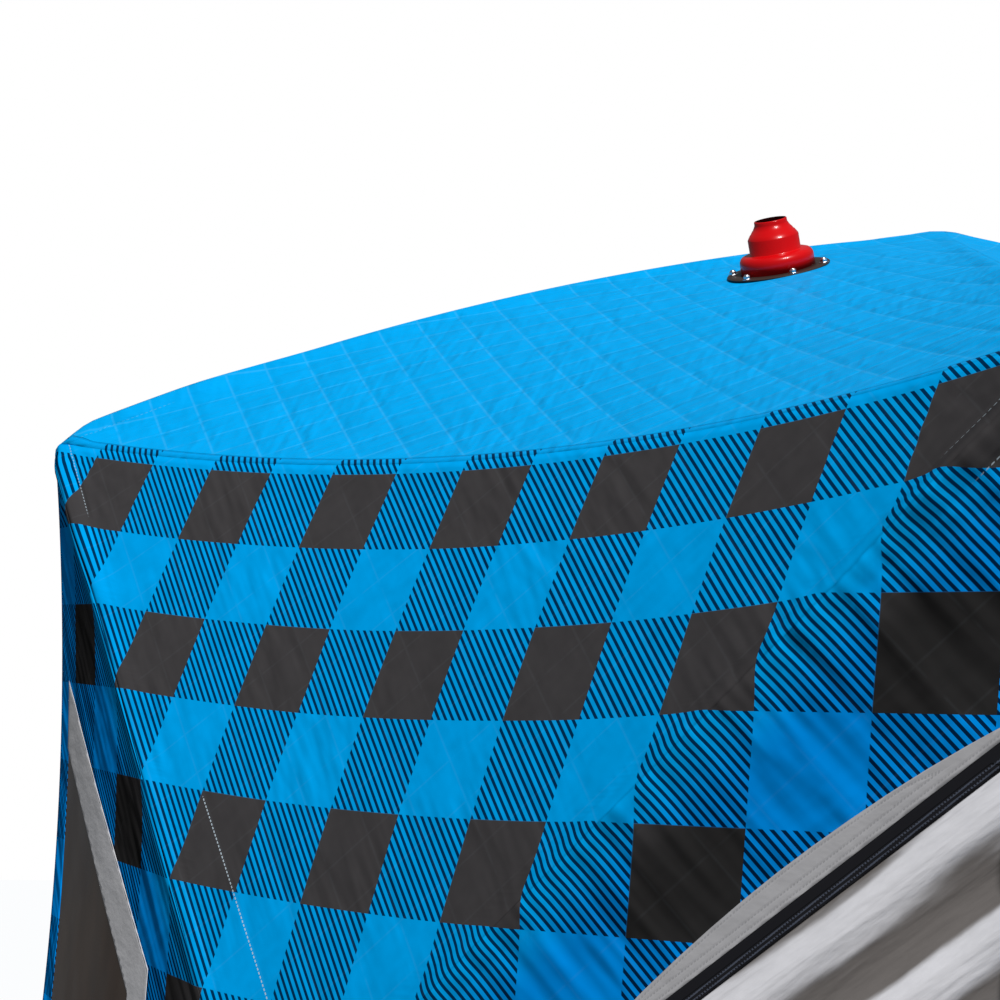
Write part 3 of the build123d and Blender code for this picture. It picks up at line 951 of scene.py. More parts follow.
@dataclass
class ClothFace:
    """One stretched face between a hub and two corners, a curved triangle of cloth.

    A point's shares a and b are the pulls of its two corners, and the rest is the hub's. The tip's
    reach and ball are in radii of the rounded corner, and its drop is how far down its middle lies.
    """

    sizes: HutSizes
    hub: Vector
    a: Vector
    b: Vector
    bow: Vector
    outward: Vector
    ridge_a: Vector
    ridge_b: Vector
    cloth_hub: Vector
    cloth_a: Vector
    cloth_b: Vector
    bend_a: float = 0.0
    bend_b: float = 0.0
    folds: float = 0.0022
    waves: float = 0.0018
    crown: float = 0.0
    seed: float = 0.0
    fold_count: int = 5
    fold_reach: float = 0.16
    tip_reach: float = 3.2
    tip_ball: float = 1.25
    tip_drop: float = 1.15
    span_a: float = field(init=False)
    span_b: float = field(init=False)
    span_hub: float = field(init=False)

    def __post_init__(self) -> None:
        """Work out how far each corner and the hub lie from the opposite edge."""
        doubled = (self.a - self.hub).cross(self.b - self.hub).length
        self.span_a = doubled / (self.b - self.hub).length
        self.span_b = doubled / (self.a - self.hub).length
        self.span_hub = doubled / (self.a - self.b).length

    def skin(self, a: float, b: float) -> Vector:
        """Return the smooth outer surface at two shares.

        Args:
            a: The point's share of the first corner.
            b: Its share of the second corner.
        Returns:
            The point.
        """
        hub = 1 - a - b
        lift = UP * (4 * hub * (self.bend_a * a + self.bend_b * b))
        return self.a * a + self.b * b + self.hub * hub + self.bow * (4 * a * b) + lift

    def normal(self, a: float, b: float) -> Vector:
        """Return the outward direction of the smooth surface.

        Args:
            a: The point's share of the first corner.
            b: Its share of the second corner.
        Returns:
            The direction, one long.
        """
        hub = 1 - a - b
        rise_a = UP * (4 * (self.bend_a * (hub - a) - self.bend_b * b))
        rise_b = UP * (4 * (self.bend_b * (hub - b) - self.bend_a * a))
        along_a = self.a - self.hub + self.bow * (4 * b) + rise_a
        along_b = self.b - self.hub + self.bow * (4 * a) + rise_b
        across = along_a.cross(along_b).normalized()
        return across if across.dot(self.outward) > 0 else -across

    def seams(self, a: float, b: float) -> Vector:
        """Return the distances to ridge a, to ridge b and to the free edge."""
        return Vector((b * self.span_b, a * self.span_a, (1 - a - b) * self.span_hub))

    def fold(self, place: Vector, corner: Vector, beside: float, before: float) -> float:
        """Return the height of the folds that run out from a corner.

        Args:
            place: The point on the cloth.
            corner: The corner they start from.
            beside: The point's distance to the corner's ridge.
            before: The point's distance to the free edge.
        Returns:
            The height.
        """
        turn = before / max(before + beside, 1e-6)
        far = (place - corner).length
        wobble = noise.noise(Vector((turn * 3, far * 6, self.seed))) * 1.5
        height = math.sin(math.tau * self.fold_count * turn + wobble) * math.sin(math.pi * turn)
        return self.folds * height * math.exp(-far / self.fold_reach) * smooth(far, 0.0, 0.05)

    def relief(self, a: float, b: float) -> Vector:
        """Return how far the cloth stands off the smooth surface.

        It stands up over the rods' sleeves and the roof's hub, runs in folds out from its corners
        and waves a little between them.

        Args:
            a: The point's share of the first corner.
            b: Its share of the second corner.
        Returns:
            The step from the smooth surface to the cloth.
        """
        sizes = self.sizes
        place = self.skin(a, b)
        to_a, to_b, to_edge = self.seams(a, b)
        normal = self.normal(a, b)
        near, toward = (to_a, self.ridge_a) if to_a < to_b else (to_b, self.ridge_b)
        share = a + b
        sleeve = 0.0
        if near < sizes.sleeve_half:
            ends = smooth(share, 0.03, 0.07) * smooth(1 - share, 0.0, 0.05)
            ends *= 0.3 + 0.7 * smooth(share, 0.7, 0.86)
            sleeve = math.cos(math.pi / 2 * near / sizes.sleeve_half) ** 2 * ends
        turn = min(max(normal.dot(toward), 0.7), 1.0)
        over = 0.0
        if near < sizes.ridge_half:
            over = math.sqrt(1 / turn**2 - 1) * near * (1 - near / sizes.ridge_half) ** 2
            over *= smooth(share, 0.04, 0.12)
        lean = 1 - smooth(near, 0.0, sizes.sleeve_half)
        direction = (normal * (1 - lean) + toward * lean).normalized()
        clear = smooth(near, sizes.sleeve_half * 0.6, 0.11) * smooth(to_edge, 0.0, 0.08)
        wave = noise.noise(place * 3.1 + Vector((self.seed, 0, 0)))
        wave += 0.5 * noise.noise(place * 7.3 + Vector((0, self.seed, 0)))
        folds = self.fold(place, self.a, to_a, to_edge) + self.fold(place, self.b, to_b, to_edge)
        folds *= smooth(near, 0.0, sizes.sleeve_half) * smooth(to_edge, 0.0, 0.02)
        crown = crown_lift(self.crown, (place - self.hub).length)
        level = wave * self.waves * clear + folds + over
        return direction * (sleeve * sizes.sleeve_height) + normal * level + UP * crown

    def rounded(self, place: Vector) -> Vector:
        """Return a point near an upper corner drawn in onto the corner's rounded tip.

        Args:
            place: The point.
        Returns:
            The point, moved where it lies near an upper corner.
        """
        radius = self.sizes.corner_radius
        for corner in (self.a, self.b):
            far = (place - corner).length
            if corner.z < self.sizes.wall_height / 2 or far > radius * self.tip_reach:
                continue
            inward = Vector(
                (-math.copysign(1, corner.x), -math.copysign(1, corner.y), -self.tip_drop)
            )
            middle = corner + inward * radius
            out = place - middle
            if out.length > radius * self.tip_ball:
                onto = middle + out.normalized() * radius * self.tip_ball
                place = place.lerp(onto, 1 - smooth(far, radius * 0.9, radius * self.tip_reach))
        return place

    def mesh(
        self, rows: int, inset: float = 0.0, extra: Optional[Callable[[Vector], float]] = None
    ) -> bmesh.types.BMesh:
        """Return the face as a grid of quads that carries its shares.

        Args:
            rows: Steps from the hub to the free edge, and half the steps across.
            inset: How far it lies under the outer surface.
            extra: Gives a further height from the place on the smooth surface.
        Returns:
            The mesh.
        """
        bm = bmesh.new()
        seams = bm.verts.layers.float_vector.new(SEAMS)
        along = bm.verts.layers.float.new(ALONG)
        shares = bm.verts.layers.float_vector.new(SHARES)
        bmesh.ops.create_grid(bm, x_segments=rows * 2, y_segments=rows, size=0.5)
        for vert in bm.verts:
            out = FIRST_SHARE + (1 - FIRST_SHARE) * (vert.co.y + 0.5)
            a, b = out * (vert.co.x + 0.5), out * (0.5 - vert.co.x)
            height = -inset
            skin = self.skin(a, b)
            if extra:
                height += extra(skin)
            vert[shares] = Vector((a, b, 0))
            vert[seams] = self.seams(a, b)
            vert[along] = out * self.span_hub
            vert.co = self.rounded(skin + self.relief(a, b)) + self.normal(a, b) * height
        turn_outwards(bm, self.outward)
        return bm

    def lay_cloth(self, bm: bmesh.types.BMesh) -> None:
        """Write the cloth's own map, in plaid squares, from the shares that the mesh carries.

        Args:
            bm: The mesh, which then carries its shares no longer.
        """
        shares = bm.verts.layers.float_vector[SHARES]
        cloth = bm.loops.layers.uv.new(CLOTH_MAP)
        for face in bm.faces:
            for loop in face.loops:
                a, b, _ = loop.vert[shares]
                hub = self.cloth_hub * (1 - a - b)
                loop[cloth].uv = self.cloth_a * a + self.cloth_b * b + hub
        bm.verts.layers.float_vector.remove(shares)


@dataclass
class FacePlane:
    """The flat plane under a side face of the front wall, in which its outlines are drawn.

    Its first axis runs level to the right and its second upwards.
    """

    origin: Vector
    outward: Vector
    right: Vector = field(init=False)
    upward: Vector = field(init=False)

    def __post_init__(self) -> None:
        """Work out the plane's axes."""
        along = Vector((1, 0, 0))
        self.right = (along - self.outward * self.outward.x).normalized()
        self.upward = self.outward.cross(self.right)

    def flat(self, place: Vector) -> Vector:
        """Return a point's two coordinates in the plane."""
        out = place - self.origin
        return Vector((out.dot(self.right), out.dot(self.upward)))


@dataclass
class Outline:
    """An outline in a face's plane, as convex parts that overlap or touch.

    Each part is listed the way the clock runs back.
    """

    plane: FacePlane
    parts: list[list[Vector]]
    edges: list[list[tuple[Vector, Vector]]] = field(init=False)

    def __post_init__(self) -> None:
        """Work out each edge's start and its direction outwards."""
        self.edges = []
        for points in self.parts:
            steps = zip(points, points[1:] + points[:1])
            found = [(start, (end - start).normalized()) for start, end in steps]
            self.edges.append([(start, Vector((step.y, -step.x))) for start, step in found])

    def depth(self, place: Vector) -> float:
        """Return how far inside the outline a point lies, negative outside."""
        flat = self.plane.flat(place)
        return max(min((start - flat).dot(out) for start, out in part) for part in self.edges)

    def cut(self, bm: bmesh.types.BMesh, keep: Keep) -> None:
        """Cut a mesh along the outline and keep one side of it.

        Args:
            bm: The mesh.
            keep: Which side of the outline is kept.
        """
        plane = self.plane
        for start, out in (edge for part in self.edges for edge in part):
            place = plane.origin + plane.right * start.x + plane.upward * start.y
            side = plane.right * out.x + plane.upward * out.y
            whole = bm.verts[:] + bm.edges[:] + bm.faces[:]
            bmesh.ops.bisect_plane(bm, geom=whole, dist=1e-5, plane_co=place, plane_no=side)
        wanted = keep is Keep.INSIDE
        gone = [f for f in bm.faces if (self.depth(f.calc_center_median()) > 0) is not wanted]
        bmesh.ops.delete(bm, geom=gone, context="FACES")


def mark_rims(bm: bmesh.types.BMesh, outer: Outline, inner: Optional[Outline]) -> None:
    """Write each vertex's distance to the outer and the inner outline, for the stitches.

    Args:
        bm: The mesh, which lies between the two.
        outer: The outline that it fills.
        inner: The outline that is cut out of it, if there is one.
    """
    seams = bm.verts.layers.float_vector[SEAMS]
    for vert in bm.verts:
        to_inner = -inner.depth(vert.co) if inner else 1.0
        vert[seams] = Vector((max(outer.depth(vert.co), 0.0), max(to_inner, 0.0), 1.0))


def cut_cloth(
    face: ClothFace,
    rows: int,
    inset: float,
    outer: Outline,
    inner: Optional[Outline] = None,
    extra: Optional[Callable[[Vector], float]] = None,
) -> bmesh.types.BMesh:
    """Return the part of a face that fills an outline, with its rims marked and its cloth laid.

    Args:
        face: The face that it follows.
        rows: Steps from the face's hub to its free edge.
        inset: How far it lies under the outer surface.
        outer: The outline that it fills.
        inner: The outline that is cut out of it.
        extra: Gives a further height from the place on the smooth surface.
    Returns:
        The mesh.
    """
    bm = face.mesh(rows, inset, extra)
    outer.cut(bm, Keep.INSIDE)
    if inner:
        inner.cut(bm, Keep.OUTSIDE)
    mark_rims(bm, outer, inner)
    face.lay_cloth(bm)
    return bm


@dataclass
class Workshop:
    finishes: dict[str, bpy.types.Material] = field(default_factory=dict)

    def finish(self, style: Finish) -> bpy.types.Material:
        """Return the material of a finish, which is made once.

        Args:
            style: The finish.
        Returns:
            The material.
        """
        if style.name not in self.finishes:
            self.finishes[style.name] = style.material()
        return self.finishes[style.name]

    def piece(
        self,
        name: str,
        bm: bmesh.types.BMesh,
        style: Finish,
        slot: str,
        nodes: Sequence[str],
        side: Side = Side.FRONT,
        thickness: float = 0.0,
        lining: Optional[Finish] = None,
    ) -> bpy.types.Object:
        """Make a finished piece from a mesh.

        Args:
            name: The piece's name.
            bm: Its mesh, which is freed.
            style: Its finish.
            slot: Not used.
            nodes: The frame's nodes that it stands for.
            side: The side it is turned to.
            thickness: The cloth's thickness, laid on inwards, or none.
            lining: The finish of its inner face.
        Returns:
            The finished object.
        """
        if side is not Side.FRONT:
            bmesh.ops.transform(bm, matrix=side.turn, verts=bm.verts)
        for face in bm.faces:
            face.smooth = True
        mesh = bpy.data.meshes.new(name)
        bm.to_mesh(mesh)
        bm.free()
        mesh.materials.append(self.finish(style))
        item = bpy.data.objects.new(name, mesh)
        bpy.context.scene.collection.objects.link(item)
        if thickness:
            layer = item.modifiers.new("thickness", "SOLIDIFY")
            layer.thickness = thickness
            layer.offset = -1.0
            if lining:
                mesh.materials.append(self.finish(lining))
                layer.material_offset = 1
        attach(item, "root")
        if nodes:
            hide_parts(*nodes)
        LOG.info("%s: %d faces", name, len(mesh.polygons))
        return item

    def dress(self, node: str, style: Finish) -> None:
        """Give one of the frame's nodes its finish.

        Args:
            node: The node's name.
            style: The finish.
        """
        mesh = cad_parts[node].data
        mesh.materials.clear()
        mesh.materials.append(self.finish(style))


LINING = PlainCloth("lining", linear(34, 34, 38), linear(60, 60, 66), stitch_in=9.0)
BORDER = PlainCloth("border_cloth", linear(170, 169, 171), linear(128, 128, 131), crease=1.4)
# The window borders are the door border's grey cloth painted lighter, as painted light on the shaded faces
# where the windows lie.
LIGHTENED_WINDOW_BORDER = PlainCloth("window_border_cloth", linear(212, 211, 213), linear(150, 150, 154), crease=1.6)
SKIRT = PlainCloth("skirt_cloth", linear(30, 30, 33), linear(80, 80, 84), roughness=0.45, crease=2.5)
WEBBING = PlainCloth("webbing", linear(24, 24, 26), linear(60, 60, 62), stitch_in=2.0)
UPPER_PLAID = PlaidCloth()
# The side faces' print is a shaded copy of the upper faces': its bluer blue and darker navy and black are
# painted shade.
SHADED_SIDE_PATTERN = PlaidPattern(linear(0, 149, 243), linear(0, 38, 74), linear(47, 46, 46))
SHADED_SIDE_PLAID = PlaidCloth("plaid_cloth_side_painted_shade", SHADED_SIDE_PATTERN, painted_ridge_shade=0.25)


@dataclass
class Wall:
    """One wall: four faces of plaid cloth round its hub, with a window on its left face."""

    sizes: HutSizes
    workshop: Workshop
    side: Side
    window_left: float = -0.836
    window_tip: float = -0.445
    window_high: float = 0.44
    window_slope: float = 0.765
    border_width: float = 0.075
    border_lift: float = 0.0006
    pane_depth: float = 0.0004
    window_area: float = 0.35
    door_area: float = 0.4
    left_column: float = 0.171
    right_column: float = 14.5667
    top_row: float = 0.867
    bottom_row: float = 15.5428
    hub_square: tuple[float, float] = (7.369, 8.5403)

    @property
    def rows(self) -> int:
        """Return how finely the wall's faces are divided."""
        return self.sizes.fine_rows if self.side is Side.FRONT else self.sizes.coarse_rows

    def square(self, right: int, top: bool) -> Vector:
        """Return the place of a corner on the plaid, in squares.

        Args:
            right: 1 for the right corner and -1 for the left.
            top: Whether it is an upper corner.
        Returns:
            The squares across and down.
        """
        spread = (self.right_column - self.left_column) / 2
        spread *= self.sizes.base_width / self.sizes.top_width - 1
        column = self.right_column if right > 0 else self.left_column
        if top:
            return Vector((column, self.top_row))
        return Vector((column + right * spread, self.bottom_row))

    def face(self, first: tuple[int, bool], second: tuple[int, bool], bow: Vector) -> ClothFace:
        """Return a face of the wall between two of its corners.

        Args:
            first: The first corner: right or left, and whether it is an upper one.
            second: The second corner.
            bow: The pull of the edge between them.
        Returns:
            The face.
        """
        sizes = self.sizes
        a, b, hub = sizes.corner(*first), sizes.corner(*second), sizes.wall_hub
        return ClothFace(
            sizes,
            hub,
            a,
            b,
            bow,
            self.facing(a, b),
            self.ridge(first),
            self.ridge(second),
            Vector(self.hub_square),
            self.square(*first),
            self.square(*second),
            seed=self.side.value + first[0] * 3.0 + second[0] * 7.0 + first[1] + 2 * second[1],
        )

    def facing(self, a: Vector, b: Vector) -> Vector:
        """Return the outward direction of the flat triangle between the hub and two corners.

        Args:
            a: The first corner.
            b: The second corner.
        Returns:
            The direction, one long.
        """
        hub = self.sizes.wall_hub
        across = (a - hub).cross(b - hub).normalized()
        return across if across.y < 0 else -across

    def ridge(self, corner: tuple[int, bool]) -> Vector:
        """Return the outward direction of the ridge to a corner, between its two faces.

        Args:
            corner: Right or left, and whether it is an upper one.
        Returns:
            The direction, one long.
        """
        right, top = corner
        end = self.sizes.corner(right, top)
        level = self.facing(self.sizes.corner(1, top), self.sizes.corner(-1, top))
        upright = self.facing(end, self.sizes.corner(right, not top))
        return (level + upright).normalized()

    def window(self, face: ClothFace, grow: float) -> Outline:
        """Return the window's outline.

        Args:
            face: The face of the wall that it is cut from.
            grow: How far its slanted sides and its tip are moved outwards.
        Returns:
            The outline, in the face's own plane.
        """
        high = self.window_high + grow * math.hypot(1, self.window_slope)
        tip = self.window_tip + grow
        low = high - (tip - self.window_left) * self.window_slope
        corners = ((self.window_left, -high), (tip, -low), (tip, low), (self.window_left, high))
        plane = FacePlane(self.sizes.wall_hub, face.outward)
        return Outline(plane, [[Vector(corner) for corner in corners]])

    def panel(self, part: str, face: ClothFace, hole: Optional[Outline], area_cut: float) -> None:
        """Make one face of plaid cloth.

        Args:
            part: Which face it is.
            face: Its shape.
            hole: What is cut out of it.
            area_cut: The area of that hole.
        """
        bm = face.mesh(self.rows)
        if hole:
            hole.cut(bm, Keep.OUTSIDE)
        face.lay_cloth(bm)
        node = f"{self.side.label}_wall_{part}"
        made = self.workshop.piece(
            f"{node}_cloth",
            bm,
            SHADED_SIDE_PLAID if part in ("left", "right") else UPPER_PLAID,
            "plaid_cloth",
            [node],
            self.side,
            self.sizes.panel_thickness,
            LINING,
        )
        width, length = (face.a - face.b).length, face.span_hub
        area = width * length / 2 - area_cut
        max(area, 0.301 * width * length)

    def faces(self) -> dict[str, ClothFace]:
        """Return the wall's four faces by name.

        Returns:
            The faces by name.
        """
        sizes = self.sizes
        left_bow = Vector((1, 1, 0)).normalized() * sizes.side_edge_bow
        right_bow = Vector((-1, 1, 0)).normalized() * sizes.side_edge_bow
        bottom_bow = Vector((0, 1, 0)) * sizes.bottom_edge_bow
        return {
            "top": self.face((1, True), (-1, True), sizes.top_bow),
            "left": self.face((-1, True), (-1, False), left_bow),
            "right": self.face((1, False), (1, True), right_bow),
            "bottom": self.face((-1, False), (1, False), bottom_bow),
        }

    def build(self, door: Optional["Door"] = None) -> tuple[bmesh.types.BMesh, bmesh.types.BMesh]:
        """Make the wall's faces.

        Args:
            door: The door in its right face, if it has one.
        Returns:
            The meshes of its window border and its window film, turned to their side.
        """
        for part, face in self.faces().items():
            if part == "left":
                hole = self.window(face, self.border_width)
                self.panel(part, face, hole, self.window_area)
            elif part == "right" and door:
                hole = door.outline(face, door.reach, door.belly)
                self.panel(part, face, hole, self.door_area)
            else:
                self.panel(part, face, None, 0.0)
        return self.window_parts()

    def window_parts(self) -> tuple[bmesh.types.BMesh, bmesh.types.BMesh]:
        """Return the window border's and the film's meshes, turned to this side.

        Returns:
            The border's mesh and the film's.
        """
        face = self.faces()["left"]
        outer, inner = self.window(face, self.border_width), self.window(face, 0.0)
        border = cut_cloth(face, self.rows, -self.border_lift, outer, inner)
        pane = cut_cloth(face, self.rows, self.pane_depth, inner)
        for bm in (border, pane):
            bmesh.ops.transform(bm, matrix=self.side.turn, verts=bm.verts)
        return border, pane


@dataclass
class Door:
    """The door in the front wall's right face: border, zipper and the cloth inside it."""

    workshop: Workshop
    right: float = 0.838
    high: float = 0.491
    slope: float = 0.819
    tip_radius: float = 0.12
    zipper: float = 0.020
    border: float = 0.008
    belly: float = 0.022
    belly_length: float = 0.418
    arc_steps: int = 12
    border_lift: float = 0.0006
    zipper_depth: float = 0.0002
    cloth_depth: float = 0.0015
    fold_height: float = 0.011
    fold_pitch: float = 0.095
    fold_level: float = 0.3
    slack_from: float = 0.085
    slack_to: float = 0.17

    @property
    def reach(self) -> float:
        """Return how far the border's edge lies outside the door's own outline."""
        return self.zipper + self.border

    def outline(self, face: ClothFace, grow: float, belly: float = 0.0) -> Outline:
        """Return the door's outline.

        Args:
            face: The face of the wall that it is cut from.
            grow: How far its slanted sides are moved outwards.
            belly: How far the border swells outwards along each slanted side.
        Returns:
            The outline, in the face's own plane.
        """
        high = self.high + grow * math.hypot(1, self.slope)
        tip = self.right - high / self.slope
        radius = self.tip_radius + grow
        half = math.atan(self.slope)
        middle = Vector((tip + radius / math.sin(half), 0.0))
        top = Vector((self.right, high))
        upper = [top]
        steps = self.arc_steps // 2
        for index in range(steps + 1):
            angle = math.pi / 2 + half + (math.pi / 2 - half) * index / steps
            upper.append(middle + Vector((math.cos(angle), math.sin(angle))) * radius)
        parts = [upper + [Vector((p.x, -p.y)) for p in reversed(upper[:-1])]]
        if belly:
            reach = Vector((-self.belly_length, -self.belly_length * self.slope))
            out = Vector((-self.slope, 1.0)).normalized()
            lens = []
            for index in range(self.arc_steps + 1):
                share = index / self.arc_steps
                lens.append(top + reach * share + out * (4 * belly * share * (1 - share)))
            parts.append(lens)
            parts.append([Vector((p.x, -p.y)) for p in reversed(lens)])
        return Outline(FacePlane(face.hub, face.outward), parts)

    def depth(self, plane: FacePlane, place: Vector) -> float:
        """Return how far a point lies inside the nearer slanted side.

        Args:
            plane: The plane that the outline is drawn in.
            place: The point.
        Returns:
            The depth, or zero outside.
        """
        flat = plane.flat(place)
        level = self.high - (self.right - flat.x) * self.slope - abs(flat.y)
        return max(level / math.hypot(1, self.slope), 0.0)

    def wave(self, plane: FacePlane, place: Vector) -> float:
        """Return how high on a fold a point lies, from about -1 in a valley to 1 on a crest.

        The folds run along the zipper and lose themselves in slack cloth further in.

        Args:
            plane: The plane that the outline is drawn in.
            place: The point.
        Returns:
            The height.
        """
        flat, inside = plane.flat(place), self.depth(plane, place)
        slack = smooth(inside, self.slack_from, self.slack_to)
        wander = noise.noise(Vector((flat.x * 2.6, flat.y * 2.6, 4.0))) * (1.3 + 4.0 * slack)
        long = noise.noise(Vector((flat.x * 2.2, inside * 16, 8.0)))
        hung = noise.noise(Vector((flat.x * 9.0, flat.y * 2.2, 2.0))) * 0.9 + 0.25
        main = math.sin(math.tau * inside / self.fold_pitch + 0.1 + wander) * 0.95 + long * 0.6
        return main * (1 - 0.8 * slack) + hung * slack

    def fold(self, plane: FacePlane, place: Vector) -> float:
        """Return how far the folds lift the door's cloth at a point, in metres."""
        level = self.wave(plane, place) - self.fold_level
        return self.fold_height * level * smooth(self.depth(plane, place), 0.004, 0.04)

    def build(self, face: ClothFace, rows: int) -> None:
        """Make the border, the zipper and the door's cloth.

        Args:
            face: The face of the wall that they lie in.
            rows: How finely that face is divided.
        """
        border_edge = self.outline(face, self.reach, self.belly)
        zipper_edge = self.outline(face, self.zipper)
        door_edge = self.outline(face, 0.0)
        slanted = 2 * self.high / self.slope * math.hypot(1, self.slope)
        border = cut_cloth(face, rows, -self.border_lift, border_edge, zipper_edge)
        made = self.workshop.piece(
            "door_border_cloth", border, BORDER, "border_cloth", ["door_border"], thickness=0.005
        )
        self.border + self.belly * 0.5
        zipper = cut_cloth(face, rows, self.zipper_depth, zipper_edge, door_edge)
        made = self.workshop.piece(
            "door_zipper_tape", zipper, ZipperTape(), "zipper_tape", ["door_zipper"], thickness=0.003
        )
        plane = door_edge.plane
        cloth = cut_cloth(
            face, rows, self.cloth_depth, door_edge, extra=lambda place: self.fold(plane, place)
        )
        # Each vertex carries the folds' height, from which the door cloth's valleys are painted dark as
        # shade.
        valleys = cloth.verts.layers.float[ALONG]
        seams = cloth.verts.layers.float_vector[SEAMS]
        for vert in cloth.verts:
            vert[valleys] = 0.5 + 0.5 * self.wave(plane, vert.co)
            vert[seams] = Vector((self.depth(plane, vert.co), 1.0, 1.0))
        made = self.workshop.piece(
            "door_panel_cloth", cloth, DoorCloth(), "door_cloth", ["door_panel"], thickness=0.0015
        )
        width = self.high / self.slope
        2 * self.high
        width * self.high


